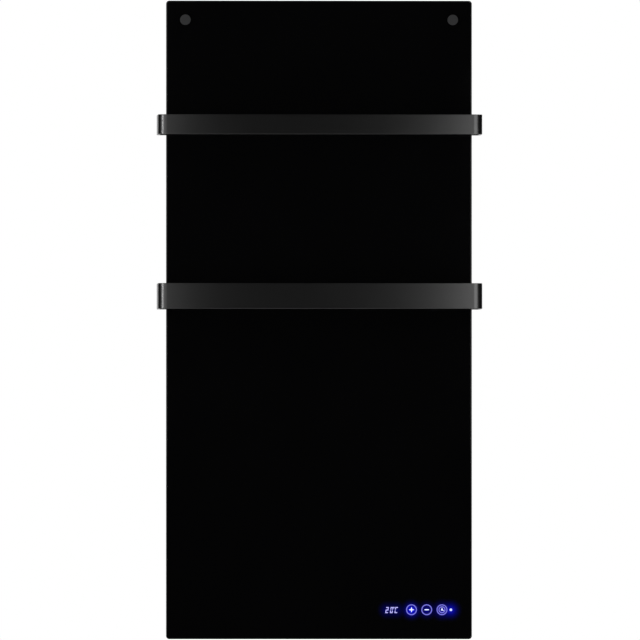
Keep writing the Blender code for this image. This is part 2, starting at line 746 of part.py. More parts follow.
def make_heating_pack(mica, alloy, foam, switch_finish):
    low, high = (-PACK_HALF_WIDTH, PACK_BOTTOM_Z), (PACK_HALF_WIDTH, PACK_TOP_Z)
    layers = (
        ("mica_sheet_front", MICA_FRONT_Y, MICA_THICKNESS, mica),
        ("mica_sheet_rear", MICA_REAR_Y, MICA_THICKNESS, mica),
        ("insulation_board", INSULATION_Y, INSULATION_THICKNESS, foam),
    )
    for name, y, thickness, finish in layers:
        block(name, (low[0], y, low[1]), (high[0], y + thickness, high[1]), finish)

    edge = PACK_HALF_WIDTH - ELEMENT_SIDE_MARGIN
    top = PACK_TOP_Z - ELEMENT_TOP_MARGIN
    return_z = PACK_BOTTOM_Z + ELEMENT_RETURN_MARGIN
    low_z = return_z + ELEMENT_RETURN_SPACING
    tab_z = PACK_BOTTOM_Z - ELEMENT_TAB_LENGTH
    pitch = 2 * edge / (ELEMENT_RUNS - 1)
    path = [(edge, tab_z)]
    for run in range(ELEMENT_RUNS):
        x = edge - run * pitch
        ends = [(x, top), (x, low_z)]
        path += ends[:1] if run == 0 else ends if run % 2 else ends[::-1]
    path[-1] = (-edge, return_z)
    path += [(ELEMENT_TAB_X, return_z), (ELEMENT_TAB_X, tab_z)]
    outline = ribbon_outline(path, ELEMENT_RIBBON_WIDTH)
    plate("heating_element", [outline], alloy, ELEMENT_Y, ELEMENT_THICKNESS)

    cutout = cylinder_profile(CUTOUT_RADIUS, 0, CUTOUT_THICKNESS)
    place = (CUTOUT_X, GLASS_REAR_Y + GAP, SERVICE_Z)
    turned("thermal_cutout", cutout, switch_finish, place, (-math.pi / 2, 0, 0))


# Rear tray


def tray_outline(margin=0.0):
    return rounded_rectangle(
        -TRAY_HALF_WIDTH - margin,
        TRAY_BOTTOM_Z - margin,
        TRAY_HALF_WIDTH + margin,
        TRAY_TOP_Z + margin,
        TRAY_CORNER_RADIUS + margin,
    )


def make_gasket(finish):
    loops = [tray_outline(TRAY_FLANGE_WIDTH), tray_outline()]
    plate("tray_gasket", loops, finish, GLASS_REAR_Y + GAP, GASKET_THICKNESS)


def make_tray(finish):
    """The tray's outer skin is drawn up from its back plate, and Solidify gives the sheet."""
    centre_z = (TRAY_TOP_Z + TRAY_BOTTOM_Z) / 2
    work = bmesh.new()
    back = work.faces.new([work.verts.new((x, TRAY_REAR_Y, z)) for x, z in tray_outline()])
    rim = list(back.edges)
    drawn = bmesh.ops.extrude_edge_only(work, edges=rim)["geom"]
    raised = [piece for piece in drawn if isinstance(piece, bmesh.types.BMVert)]
    for vert in raised:
        vert.co.y = TRAY_FLANGE_REAR_Y
    rim = [edge for edge in work.edges if all(vert in raised for vert in edge.verts)]
    drawn = bmesh.ops.extrude_edge_only(work, edges=rim)["geom"]
    for vert in (piece for piece in drawn if isinstance(piece, bmesh.types.BMVert)):
        corner_x = math.copysign(TRAY_HALF_WIDTH - TRAY_CORNER_RADIUS, vert.co.x)
        above = vert.co.z > centre_z
        corner_z = TRAY_TOP_Z - TRAY_CORNER_RADIUS if above else TRAY_BOTTOM_Z + TRAY_CORNER_RADIUS
        outward = Vector((vert.co.x - corner_x, 0, vert.co.z - corner_z)).normalized()
        vert.co += outward * TRAY_FLANGE_WIDTH
    bmesh.ops.recalc_face_normals(work, faces=work.faces)
    work.faces.ensure_lookup_table()
    rearmost = max(work.faces, key=lambda face: face.calc_center_median().y)
    if rearmost.normal.y < 0:
        bmesh.ops.reverse_faces(work, faces=work.faces)
    mesh = bpy.data.meshes.new("rear_tray")
    work.to_mesh(mesh)
    work.free()
    tray = add_object("rear_tray", mesh, finish)
    shell = tray.modifiers.new("Sheet", "SOLIDIFY")
    shell.thickness = SHEET_THICKNESS
    shell.offset = -1
    shell.use_even_offset = True

    screws = [
        (side * RAIL_SCREW_X, TRAY_REAR_Y, z + up * RAIL_SCREW_PITCH / 2)
        for z in (UPPER_RAIL_Z, LOWER_RAIL_Z)
        for side in (-1, 1)
        for up in (-1, 1)
    ]
    drill(tray, "tray_screw_holes", screws, SCREW_SHANK_RADIUS + GAP, 6 * SHEET_THICKNESS, (0, 1, 0))
    spacers = [(side * SPACER_X, TRAY_REAR_Y, SPACER_Z) for side in (-1, 1)]
    drill(tray, "tray_spacer_holes", spacers, SPACER_STUD_RADIUS + GAP, 6 * SHEET_THICKNESS, (0, 1, 0))
    grommet = [(GROMMET_X, GROMMET_Y, TRAY_BOTTOM_Z)]
    radius = GROMMET_RADIUS + GAP
    drill(tray, "tray_grommet_hole", grommet, radius, 6 * SHEET_THICKNESS, (0, 0, 1), ROUND_STEPS)


# Towel rails and screws


def make_towel_rail(name, centre_z, height, finish):
    half = RAIL_HALF_WIDTH - RAIL_THICKNESS / 2
    front = RAIL_FRONT_Y + RAIL_THICKNESS / 2
    rear = RAIL_TAB_REAR_Y - RAIL_THICKNESS / 2
    path = [
        (-RAIL_TAB_END_X, rear),
        (-half, rear),
        (-half, front),
        (half, front),
        (half, rear),
        (RAIL_TAB_END_X, rear),
    ]
    radii = (RAIL_REAR_BEND_RADIUS, RAIL_FRONT_BEND_RADIUS, RAIL_FRONT_BEND_RADIUS, RAIL_REAR_BEND_RADIUS)
    outline = strip_outline(path, radii, RAIL_THICKNESS)
    rail = extruded(name, [outline], finish, (0, 0, centre_z), height)
    soften(rail, RAIL_EDGE_ROUND)
    holes = [
        (side * RAIL_SCREW_X, rear, centre_z + up * RAIL_SCREW_PITCH / 2)
        for side in (-1, 1)
        for up in (-1, 1)
    ]
    drill(rail, name + "_holes", holes, SCREW_SHANK_RADIUS + GAP, 2 * RAIL_THICKNESS, (0, 1, 0))


def screw_mesh(name, length):
    """A pan-head screw with its head's underside at zero and its head along +Z."""
    profile = [
        (0, SCREW_HEAD_HEIGHT),
        (SCREW_CROWN_RADIUS, SCREW_HEAD_HEIGHT),
        (SCREW_HEAD_RADIUS, SCREW_HEAD_SIDE),
        (SCREW_HEAD_RADIUS, 0),
        (SCREW_SHANK_RADIUS, 0),
        (SCREW_SHANK_RADIUS, -length),
        (0, -length),
    ]
    draft = turned(name, profile, None, (0, 0, 0), steps=SMALL_ROUND_STEPS)
    recess = extruded(
        name + "_cross",
        [cross(0, 0, SCREW_CROSS_LENGTH, SCREW_CROSS_WAIST, SCREW_CROSS_TIP)],
        None,
        (0, 0, SCREW_HEAD_HEIGHT),
        2 * SCREW_CROSS_DEPTH,
    )
    cut(draft, recess)
    mesh = evaluated_mesh(draft, weld=False)
    for used in (draft, recess):
        bpy.data.objects.remove(used)
    shade_round(mesh)
    return mesh


def make_rail_screws(finish):
    length = GAP + RAIL_THICKNESS + GAP + SHEET_THICKNESS + RAIL_SCREW_GRIP
    mesh = screw_mesh("rail_screw", length)
    rails = (("upper", UPPER_RAIL_Z), ("lower", LOWER_RAIL_Z))
    for rail, z in rails:
        for side, side_name in ((-1, "left"), (1, "right")):
            for up, level in ((1, "top"), (-1, "bottom")):
                place = (side * RAIL_SCREW_X, RAIL_TAB_REAR_Y + GAP, z + up * RAIL_SCREW_PITCH / 2)
                name = f"rail_screw_{rail}_{side_name}_{level}"
                add_object(name, mesh, finish, place, (-math.pi / 2, 0, 0))


# Spacers at the wall


def make_spacer(side, name, plastic, rubber):
    """Heights in the profiles are distances from the wall."""
    place, facing = (side * SPACER_X, 0, SPACER_Z), (math.pi / 2, 0, 0)
    foot = PAD_THICKNESS + GAP
    shoulder = -TRAY_REAR_Y - GAP
    tip = shoulder + GAP + SHEET_THICKNESS + SPACER_STUD_LENGTH
    profile = [
        (0, tip),
        (SPACER_STUD_RADIUS, tip),
        (SPACER_STUD_RADIUS, shoulder),
        (SPACER_RADIUS, shoulder),
        (SPACER_RADIUS, foot),
        (0, foot),
    ]
    turned("wall_spacer_" + name, profile, plastic, place, facing)
    turned("spacer_pad_" + name, cylinder_profile(PAD_RADIUS, 0, PAD_THICKNESS), rubber, place, facing)


# Control box


def box_inner_outline(inset):
    wall = CONTROL_WALL + inset
    return cut_corner_rectangle(
        CONTROL_LEFT_X + wall,
        CONTROL_LOW_Z + wall,
        CONTROL_RIGHT_X - wall,
        CONTROL_HIGH_Z - wall,
        CONTROL_BOSS_SIDE,
    )


def cover_screw_places():
    inset = COVER_SCREW_INSET
    return [
        (x, z)
        for x in (CONTROL_LEFT_X + inset, CONTROL_RIGHT_X - inset)
        for z in (CONTROL_LOW_Z + inset, CONTROL_HIGH_Z - inset)
    ]


def make_control_box(plastic, steel):
    outer = rounded_rectangle(
        CONTROL_LEFT_X, CONTROL_LOW_Z, CONTROL_RIGHT_X, CONTROL_HIGH_Z, CONTROL_CORNER_RADIUS
    )
    housing = plate("control_housing", [outer, box_inner_outline(0)], plastic, CONTROL_FRONT_Y, CONTROL_DEPTH)
    places = cover_screw_places()
    pilot_depth = COVER_SCREW_GRIP + 4 * GAP
    pilots = [(x, CONTROL_REAR_Y, z) for x, z in places]
    drill(housing, "housing_pilots", pilots, SCREW_SHANK_RADIUS + GAP, 2 * pilot_depth, (0, 1, 0))
    switch_half_y = SWITCH_BODY_WIDTH / 2 + GAP
    switch_half_z = SWITCH_BODY_HEIGHT / 2 + GAP
    window = block(
        "housing_switch_window",
        (CONTROL_RIGHT_X - 2 * CONTROL_WALL, REAR_SPACE_Y - switch_half_y, SWITCH_Z - switch_half_z),
        (CONTROL_RIGHT_X + CONTROL_WALL, REAR_SPACE_Y + switch_half_y, SWITCH_Z + switch_half_z),
        None,
    )
    cut(housing, window)
    low_wall = CONTROL_LOW_Z + CONTROL_WALL / 2
    gland = [(CONTROL_LEFT_X + GLAND_X, REAR_SPACE_Y, low_wall)]
    radius = GLAND_NECK_RADIUS + GAP
    drill(housing, "housing_gland_hole", gland, radius, 2 * CONTROL_WALL, (0, 0, 1), ROUND_STEPS)
    sensor = [(SENSOR_X, REAR_SPACE_Y, low_wall)]
    drill(housing, "housing_sensor_hole", sensor, SENSOR_RADIUS + GAP, 2 * CONTROL_WALL, (0, 0, 1))
    high_wall = CONTROL_HIGH_Z - CONTROL_WALL / 2
    grommet = [(GROMMET_X, GROMMET_Y, high_wall)]
    radius = GROMMET_RADIUS + GAP
    drill(housing, "housing_grommet_hole", grommet, radius, 2 * CONTROL_WALL, (0, 0, 1), ROUND_STEPS)

    middle_z = (CONTROL_LOW_Z + CONTROL_HIGH_Z) / 2
    vents = []
    for index in range(VENT_COUNT):
        x = CONTROL_LEFT_X + VENT_FIRST_X + index * VENT_PITCH
        half, reach = VENT_WIDTH / 2, VENT_LENGTH / 2
        vents.append(rounded_rectangle(x - half, middle_z - reach, x + half, middle_z + reach, half, 2))
    holes = [circle(x, z, SCREW_SHANK_RADIUS + GAP, SMALL_ROUND_STEPS) for x, z in places]
    cover_y = CONTROL_REAR_Y + GAP
    plate("control_cover", [outer, *holes, *vents], plastic, cover_y, COVER_THICKNESS)
    mesh = screw_mesh("cover_screw", GAP + COVER_THICKNESS + GAP + COVER_SCREW_GRIP)
    for index, (x, z) in enumerate(places, start=1):
        place = (x, cover_y + COVER_THICKNESS + GAP, z)
        add_object(f"cover_screw_{index}", mesh, steel, place, (-math.pi / 2, 0, 0))


def make_display(board_finish, black, clear, film_finish, led_finish):
    row = CONTROL_ROW_Z
    rear = DISPLAY_BOARD_Y
    outline = box_inner_outline(GAP)
    plate("display_board", [outline], board_finish, rear, DISPLAY_BOARD_THICKNESS)
    centre_x = DIGITS_X + DIGIT_PITCH
    half_width, half_height = DISPLAY_MODULE_WIDTH / 2, DISPLAY_MODULE_HEIGHT / 2
    block(
        "display_module",
        (centre_x - half_width, GLASS_REAR_Y + GAP, row - half_height),
        (centre_x + half_width, rear - GAP, row + half_height),
        black,
        COMPONENT_EDGE_CHAMFER,
    )
    outer = KEY_RING_RADIUS + KEY_RING_STROKE / 2
    inner = KEY_RING_RADIUS - KEY_RING_STROKE / 2
    film_left = centre_x + half_width + GAP
    film_right = STATUS_LED_X + STATUS_LED_RADIUS + KEY_RING_STROKE
    film_half = TOUCH_FILM_HEIGHT / 2
    film = rectangle(film_left, row - film_half, film_right, row + film_half)
    plate("touch_film", [film], film_finish, GLASS_REAR_Y + GAP, TOUCH_FILM_THICKNESS)
    for index, name in enumerate(("plus", "minus", "timer")):
        x = KEY_FIRST_X + index * KEY_PITCH
        guide = ring_profile(outer, inner, 0, LIGHT_GUIDE_LENGTH)
        turned("light_guide_" + name, guide, clear, (x, LIGHT_GUIDE_Y, row), (-math.pi / 2, 0, 0))
    lamp = cylinder_profile(STATUS_LED_RADIUS, 0, LIGHT_GUIDE_LENGTH)
    place = (STATUS_LED_X, LIGHT_GUIDE_Y, row)
    turned("status_led", lamp, led_finish, place, (-math.pi / 2, 0, 0), SMALL_ROUND_STEPS)


def board_block(name, size, place, finish):
    """A component on the power board's rear; its place is from the box's lower left corner."""
    width, depth, height = size
    x, z = CONTROL_LEFT_X + place[0], CONTROL_LOW_Z + place[1]
    y = POWER_BOARD_REAR_Y + GAP
    return block(
        name,
        (x - width / 2, y, z - height / 2),
        (x + width / 2, y + depth, z + height / 2),
        finish,
        COMPONENT_EDGE_CHAMFER,
    )


def make_power_board(board_finish, blue, tan, green):
    outline = box_inner_outline(GAP)
    plate("power_board", [outline], board_finish, POWER_BOARD_Y, POWER_BOARD_THICKNESS)
    board_block("relay", RELAY_SIZE, RELAY_PLACE, blue)
    board_block("transformer", TRANSFORMER_SIZE, TRANSFORMER_PLACE, tan)
    terminals = board_block("terminal_block", TERMINALS_SIZE, TERMINALS_PLACE, green)
    low = CONTROL_LOW_Z + TERMINALS_PLACE[1] - TERMINALS_SIZE[2] / 2
    middle_x = CONTROL_LEFT_X + TERMINALS_PLACE[0]
    middle_y = POWER_BOARD_REAR_Y + GAP + TERMINALS_SIZE[1] / 2
    holes = [(middle_x + step * TERMINAL_PITCH, middle_y, low) for step in (-1, 0, 1)]
    drill(terminals, "terminal_holes", holes, TERMINAL_HOLE_RADIUS, 2 * TERMINAL_HOLE_DEPTH, (0, 0, 1))


# Inlets and leads


def make_inlets(rubber, white):
    """The gland and sensor stand in the box's lower wall, the grommet joins box and tray."""
    inside, outside = CONTROL_WALL + GAP, -GAP
    gland = [
        (GLAND_FLANGE_RADIUS, inside + GLAND_FLANGE_LENGTH),
        (GLAND_FLANGE_RADIUS, inside),
        (GLAND_NECK_RADIUS, inside),
        (GLAND_NECK_RADIUS, outside),
        (GLAND_FLANGE_RADIUS, outside),
        (GLAND_FLANGE_RADIUS, outside - GLAND_FLANGE_LENGTH / 2),
        (GLAND_NOSE_RADIUS, outside - GLAND_NOSE_LENGTH),
        (GLAND_BORE_RADIUS, outside - GLAND_NOSE_LENGTH),
        (GLAND_BORE_RADIUS, inside + GLAND_FLANGE_LENGTH),
    ]
    turned("cable_gland", gland, rubber, (CONTROL_LEFT_X + GLAND_X, REAR_SPACE_Y, CONTROL_LOW_Z))
    sensor = [
        (0, inside + SENSOR_FLANGE_LENGTH),
        (SENSOR_FLANGE_RADIUS, inside + SENSOR_FLANGE_LENGTH),
        (SENSOR_FLANGE_RADIUS, inside),
        (SENSOR_RADIUS, inside),
        (SENSOR_RADIUS, -SENSOR_REACH + SENSOR_RADIUS - SENSOR_NOSE_RADIUS),
        (SENSOR_NOSE_RADIUS, -SENSOR_REACH),
        (0, -SENSOR_REACH),
    ]
    place = (SENSOR_X, REAR_SPACE_Y, CONTROL_LOW_Z)
    turned("room_sensor", sensor, white, place, steps=SMALL_ROUND_STEPS)
    tray_floor = TRAY_BOTTOM_Z + SHEET_THICKNESS + GAP
    box_ceiling = CONTROL_HIGH_Z - CONTROL_WALL
    grommet = [
        (GROMMET_FLANGE_RADIUS, tray_floor + GROMMET_FLANGE_THICKNESS),
        (GROMMET_FLANGE_RADIUS, tray_floor),
        (GROMMET_RADIUS, tray_floor),
        (GROMMET_RADIUS, box_ceiling),
        (GROMMET_BORE_RADIUS, box_ceiling),
        (GROMMET_BORE_RADIUS, tray_floor + GROMMET_FLANGE_THICKNESS),
    ]
    turned("wire_grommet", grommet, rubber, (GROMMET_X, GROMMET_Y, 0))


def make_leads(live_finish, neutral_finish):
    """Leads from the power board, through the grommet, to the cut-out and the element."""
    board_z = CONTROL_HIGH_Z - LEAD_BOARD_DROP
    tab_y = ELEMENT_Y + ELEMENT_THICKNESS + GAP + LEAD_RADIUS
    tab_x = PACK_HALF_WIDTH - ELEMENT_SIDE_MARGIN
    tab_low, tab_high = PACK_BOTTOM_Z - ELEMENT_TAB_LENGTH, PACK_BOTTOM_Z - LEAD_SAG
    floor = TRAY_BOTTOM_Z + SHEET_THICKNESS
    cutout_y = GLASS_REAR_Y + GAP + CUTOUT_THICKNESS / 2
    cutout_edge = CUTOUT_RADIUS + GAP
    sagging_z = SERVICE_Z - LEAD_SAG

    def through_grommet(side):
        x = GROMMET_X + side * LEAD_SPACING / 2
        return [
            (x, LEADS_Y, board_z),
            (x, LEADS_Y, board_z + LEAD_BOARD_RISE),
            (x, GROMMET_Y, CONTROL_HIGH_Z + LEAD_STRAIGHT),
            (x, GROMMET_Y, floor + LEAD_STRAIGHT),
            (x + side * LEAD_SPREAD, GROMMET_Y, floor + LEAD_SPREAD_HEIGHT),
        ]

    live_x = GROMMET_X - LEAD_SPACING / 2
    neutral_x = GROMMET_X + LEAD_SPACING / 2
    cutout_end = CUTOUT_X + cutout_edge
    live = through_grommet(-1) + [
        (live_x - LEAD_BEND, (GROMMET_Y + cutout_y) / 2, sagging_z),
        (cutout_end + LEAD_BEND, cutout_y, SERVICE_Z),
        (cutout_end, cutout_y, SERVICE_Z),
    ]
    tube("lead_live", live, LEAD_RADIUS, live_finish)
    neutral = through_grommet(1) + [
        (neutral_x + LEAD_BEND + LEAD_SAG, (GROMMET_Y + tab_y) / 2, sagging_z),
        (tab_x - LEAD_BEND - LEAD_SAG, tab_y, sagging_z - LEAD_SAG),
        (tab_x, tab_y, tab_low + LEAD_STRAIGHT),
        (tab_x, tab_y, tab_high),
    ]
    tube("lead_neutral", neutral, LEAD_RADIUS, neutral_finish)
    cutout_end = CUTOUT_X - cutout_edge
    link = [
        (cutout_end, cutout_y, SERVICE_Z),
        (cutout_end - LEAD_BEND + LEAD_STRAIGHT, (cutout_y + tab_y) / 2, SERVICE_Z - LEAD_STRAIGHT),
        (ELEMENT_TAB_X + LEAD_SAG, tab_y, SERVICE_Z - LEAD_STRAIGHT),
        (ELEMENT_TAB_X, tab_y, (tab_low + PACK_BOTTOM_Z) / 2),
        (ELEMENT_TAB_X, tab_y, tab_high),
    ]
    tube("lead_link", link, LEAD_RADIUS, live_finish)


# Power switch


def make_switch(body_finish, rocker_finish):
    y, z, wall_x = REAR_SPACE_Y, SWITCH_Z, CONTROL_RIGHT_X
    half_y, half_z = SWITCH_BODY_WIDTH / 2, SWITCH_BODY_HEIGHT / 2
    body = block(
        "switch_body",
        (wall_x - SWITCH_BODY_DEPTH, y - half_y, z - half_z),
        (wall_x + GAP + BEZEL_THICKNESS / 2, y + half_y, z + half_z),
        body_finish,
    )
    bezel = block(
        "switch_bezel",
        (wall_x + GAP, y - half_y - BEZEL_MARGIN, z - half_z - BEZEL_MARGIN),
        (wall_x + GAP + BEZEL_THICKNESS, y + half_y + BEZEL_MARGIN, z + half_z + BEZEL_MARGIN),
        None,
    )
    join(body, bezel)
    sweep = math.hypot(ROCKER_END_REACH, ROCKER_END_HEIGHT) + ROCKER_SWEEP_CLEARANCE
    foot_sweep = ROCKER_FOOT_DEPTH * math.cos(ROCKER_TILT) + ROCKER_FOOT_REACH * math.sin(ROCKER_TILT)
    pocket_half_y = ROCKER_WIDTH / 2 + GAP
    pocket = block(
        "switch_pocket",
        (HINGE_X - foot_sweep - ROCKER_SWEEP_CLEARANCE, y - pocket_half_y, z - sweep),
        (wall_x + 2 * BEZEL_THICKNESS, y + pocket_half_y, z + sweep),
        None,
    )
    cut(body, pocket)
    drill(body, "switch_pin_holes", [(HINGE_X, y, z)], PIN_RADIUS + GAP, SWITCH_BODY_WIDTH + GAP, (0, 1, 0))

    hinge = bpy.data.objects.new("rocker_hinge", None)
    hinge.location = (HINGE_X, y, z)
    parts.objects.link(hinge)
    outline = [
        (-ROCKER_FOOT_DEPTH, -ROCKER_FOOT_REACH),
        (0, -ROCKER_END_REACH),
        (ROCKER_END_HEIGHT, -ROCKER_END_REACH),
        (ROCKER_MIDDLE_HEIGHT, 0),
        (ROCKER_END_HEIGHT, ROCKER_END_REACH),
        (0, ROCKER_END_REACH),
        (-ROCKER_FOOT_DEPTH, ROCKER_FOOT_REACH),
    ]
    rocker = extruded("power_rocker", [outline], rocker_finish, (0, 0, 0), ROCKER_WIDTH, (math.pi / 2, 0, 0))
    pin_profile = cylinder_profile(PIN_RADIUS, -PIN_REACH, PIN_REACH)
    pin = turned("rocker_pin", pin_profile, None, (0, 0, 0), (math.pi / 2, 0, 0), SMALL_ROUND_STEPS)
    rest = Matrix.Rotation(-ROCKER_TILT, 4, "Y")
    for piece in (rocker, pin):
        upright = piece.matrix_basis.copy()
        piece.parent = hinge
        piece.matrix_basis = rest @ upright
    join(rocker, pin)


def build():
    global parts, cutters
    for old in list(bpy.data.objects):
        bpy.data.objects.remove(old)
    parts = new_collection("bathroom_heater")
    cutters = new_collection("cutters")

    black_glass = material("black_glass", (0.003, 0.003, 0.004), 0.06)
    black_metal = material("black_rail_coating", (0.018, 0.018, 0.019), 0.38, 0.6)
    dark_cap = material("dark_cap", (0.030, 0.031, 0.033), 0.45, 0.4)
    zinc = material("zinc_steel", (0.55, 0.56, 0.58), 0.35, 1.0)
    charcoal = material("charcoal_powder_coat", (0.022, 0.022, 0.024), 0.6)
    black_plastic = material("black_plastic", (0.016, 0.016, 0.017), 0.5)
    rubber = material("black_rubber", (0.012, 0.012, 0.012), 0.8)
    silicone = material("clear_silicone", (0.60, 0.62, 0.63), 0.4)
    mica = material("mica", (0.42, 0.36, 0.26), 0.6)
    alloy = material("heating_alloy", (0.36, 0.34, 0.32), 0.4, 1.0)
    foam = material("insulation_foam", (0.72, 0.70, 0.66), 0.95)
    ceramic = material("cutout_ceramic", (0.70, 0.68, 0.62), 0.6)
    board = material("circuit_board", (0.010, 0.085, 0.030), 0.45)
    clear = material("light_guide_clear", (0.80, 0.84, 0.92), 0.15)
    film = material("touch_film", (0.50, 0.30, 0.12), 0.4)
    blue = material("relay_blue", (0.010, 0.060, 0.300), 0.4)
    yellow = material("transformer_tape", (0.65, 0.42, 0.05), 0.5)
    green = material("terminal_green", (0.02, 0.22, 0.08), 0.5)
    white = material("sensor_white", (0.75, 0.75, 0.73), 0.5)
    brown = material("live_lead_brown", (0.13, 0.045, 0.015), 0.5)
    blue_lead = material("neutral_lead_blue", (0.012, 0.060, 0.35), 0.5)

    make_glass(black_glass)
    make_wall_rail(zinc)
    for side, name in ((-1, "left"), (1, "right")):
        make_standoff(side, name, zinc, rubber, silicone, dark_cap)
        make_spacer(side, name, black_plastic, rubber)
    make_heating_pack(mica, alloy, foam, ceramic)
    make_gasket(rubber)
    make_tray(charcoal)
    make_towel_rail("towel_rail_upper", UPPER_RAIL_Z, UPPER_RAIL_HEIGHT, black_metal)
    make_towel_rail("towel_rail_lower", LOWER_RAIL_Z, LOWER_RAIL_HEIGHT, black_metal)
    make_rail_screws(zinc)
    make_control_box(black_plastic, zinc)
    make_display(board, black_plastic, clear, film, clear)
    make_power_board(board, blue, yellow, green)
    make_inlets(rubber, white)
    make_leads(brown, blue_lead)
    make_switch(black_plastic, black_plastic)


build()
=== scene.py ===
import bpy
import json
import math
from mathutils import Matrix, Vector


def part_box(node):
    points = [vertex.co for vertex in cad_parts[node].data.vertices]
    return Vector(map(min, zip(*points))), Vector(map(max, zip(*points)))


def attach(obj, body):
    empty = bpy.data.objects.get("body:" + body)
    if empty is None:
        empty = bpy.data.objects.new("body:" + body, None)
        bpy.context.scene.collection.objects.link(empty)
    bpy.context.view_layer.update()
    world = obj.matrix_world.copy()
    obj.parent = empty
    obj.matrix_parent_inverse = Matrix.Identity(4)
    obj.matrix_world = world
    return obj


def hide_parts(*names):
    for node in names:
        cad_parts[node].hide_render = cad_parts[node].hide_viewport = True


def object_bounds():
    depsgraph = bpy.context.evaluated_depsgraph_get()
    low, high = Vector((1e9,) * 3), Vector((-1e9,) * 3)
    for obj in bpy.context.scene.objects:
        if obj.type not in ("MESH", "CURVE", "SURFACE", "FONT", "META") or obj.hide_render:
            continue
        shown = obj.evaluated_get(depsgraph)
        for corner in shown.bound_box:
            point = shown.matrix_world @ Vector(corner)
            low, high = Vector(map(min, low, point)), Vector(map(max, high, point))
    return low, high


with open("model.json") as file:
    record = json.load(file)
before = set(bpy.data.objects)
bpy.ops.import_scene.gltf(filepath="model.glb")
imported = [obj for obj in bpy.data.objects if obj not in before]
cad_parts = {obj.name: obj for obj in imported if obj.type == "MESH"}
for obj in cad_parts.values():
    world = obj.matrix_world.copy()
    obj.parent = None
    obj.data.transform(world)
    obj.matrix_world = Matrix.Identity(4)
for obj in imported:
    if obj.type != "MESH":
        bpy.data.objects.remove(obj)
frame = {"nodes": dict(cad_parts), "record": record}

cadLow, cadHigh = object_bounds()
nodes = frame["nodes"]
slotOf = {row["node"]: row["material_slot"] for row in frame["record"]["subparts"]}
print("frame loaded:", len(nodes), "nodes")


# the few moves that all pieces are made with
def letGo():
    bpy.ops.object.select_all(action="DESELECT")


def take(piece):
    letGo()
    piece.hide_set(False)
    piece.select_set(True)
    bpy.context.view_layer.objects.active = piece


def settle(piece):
    bpy.ops.object.mode_set(mode="OBJECT")
    take(piece)
    bpy.ops.object.transform_apply(location=True, rotation=True, scale=True)
    return piece


def addBox(low, high):
    letGo()
    middle = [(a + b) / 2 for a, b in zip(low, high)]
    bpy.ops.mesh.primitive_cube_add(size=1, location=middle, scale=[b - a for a, b in zip(low, high)])
    return settle(bpy.context.object)


def chooseFaces(piece, test):
    bpy.ops.object.mode_set(mode="EDIT")
    bpy.ops.mesh.select_mode(type="FACE")
    bpy.ops.mesh.select_all(action="DESELECT")
    bpy.ops.object.mode_set(mode="OBJECT")
    for face in piece.data.polygons:
        face.select = bool(test(face.center, face.normal))
    bpy.ops.object.mode_set(mode="EDIT")


def pull(x=0.0, y=0.0, z=0.0):
    bpy.ops.mesh.extrude_region_move(TRANSFORM_OT_translate={"value": (x, y, z)})


def swing(x, y, steps):   # a quarter turn of the chosen faces about an upright line
    bpy.ops.mesh.spin(steps=steps, angle=math.pi / 2, center=(x, y, 0), axis=(0, 0, -1))


def modify(piece, kind, **values):
    take(piece)
    modifier = piece.modifiers.new(kind.title(), kind)
    for key, value in values.items():
        setattr(modifier, key, value)
    bpy.ops.object.modifier_apply(modifier=modifier.name)


def weldFaces(piece, outward=True):
    take(piece)
    bpy.ops.object.mode_set(mode="EDIT")
    bpy.ops.mesh.select_all(action="SELECT")
    bpy.ops.mesh.remove_doubles(threshold=0.000002)
    if outward:
        bpy.ops.mesh.normals_make_consistent(inside=False)
    bpy.ops.object.mode_set(mode="OBJECT")


def smoothOver(piece, edge=0.0, steps=3, limit=32):
    if edge:
        modify(piece, "BEVEL", width=edge, segments=steps, limit_method="ANGLE",
               angle_limit=math.radians(limit), use_clamp_overlap=True)
    take(piece)
    bpy.ops.object.shade_smooth_by_angle(angle=math.radians(limit))
    modify(piece, "WEIGHTED_NORMAL", keep_sharp=True, weight=60)


# steps are (place along the axis, radius) pairs, from one end to the other
def turned(middle, axis, steps, sides):
    letGo()
    along = {"y": Vector((0, 1, 0)), "z": Vector((0, 0, 1))}[axis]
    tilt = {"y": (math.pi / 2, 0, 0), "z": (0, 0, 0)}[axis]
    flat = Vector(middle) - along * Vector(middle).dot(along)
    place, radius = steps[0]
    bpy.ops.mesh.primitive_circle_add(vertices=sides, radius=radius, fill_type="NGON",
                                      location=flat + along * place, rotation=tilt)
    piece = settle(bpy.context.object)
    bpy.ops.object.mode_set(mode="EDIT")
    bpy.ops.mesh.select_mode(type="FACE")
    bpy.ops.mesh.select_all(action="SELECT")
    for nextPlace, nextRadius in steps[1:]:
        pull(*(along * (nextPlace - place)))
        ratio = nextRadius / radius
        bpy.ops.transform.resize(value=(ratio, ratio, ratio), center_override=flat + along * nextPlace)
        place, radius = nextPlace, nextRadius
    bpy.ops.object.mode_set(mode="OBJECT")
    weldFaces(piece)
    return piece


def cutAway(piece, cutter):
    modify(piece, "BOOLEAN", operation="DIFFERENCE", object=cutter, solver="EXACT")
    bpy.data.objects.remove(cutter)


def moveTo(piece, x=0.0, y=0.0, z=0.0):
    take(piece)
    bpy.ops.transform.translate(value=(x, y, z))
    settle(piece)


def another(piece):
    take(piece)
    bpy.ops.object.duplicate(linked=False)
    return bpy.context.object


def copyOf(node, edge=0.0, steps=2, limit=32):   # a node's form, welded and with softened edges
    letGo()
    source = nodes[node]
    piece = source.copy()
    piece.data = source.data.copy()
    for key in list(piece.keys()):
        del piece[key]
    piece.parent = None
    bpy.context.scene.collection.objects.link(piece)
    weldFaces(piece, outward=False)
    bpy.ops.object.mode_set(mode="EDIT")
    bpy.ops.mesh.select_all(action="SELECT")
    bpy.ops.mesh.dissolve_limited(angle_limit=math.radians(1))
    bpy.ops.object.mode_set(mode="OBJECT")
    smoothOver(piece, edge, steps, limit)
    return piece


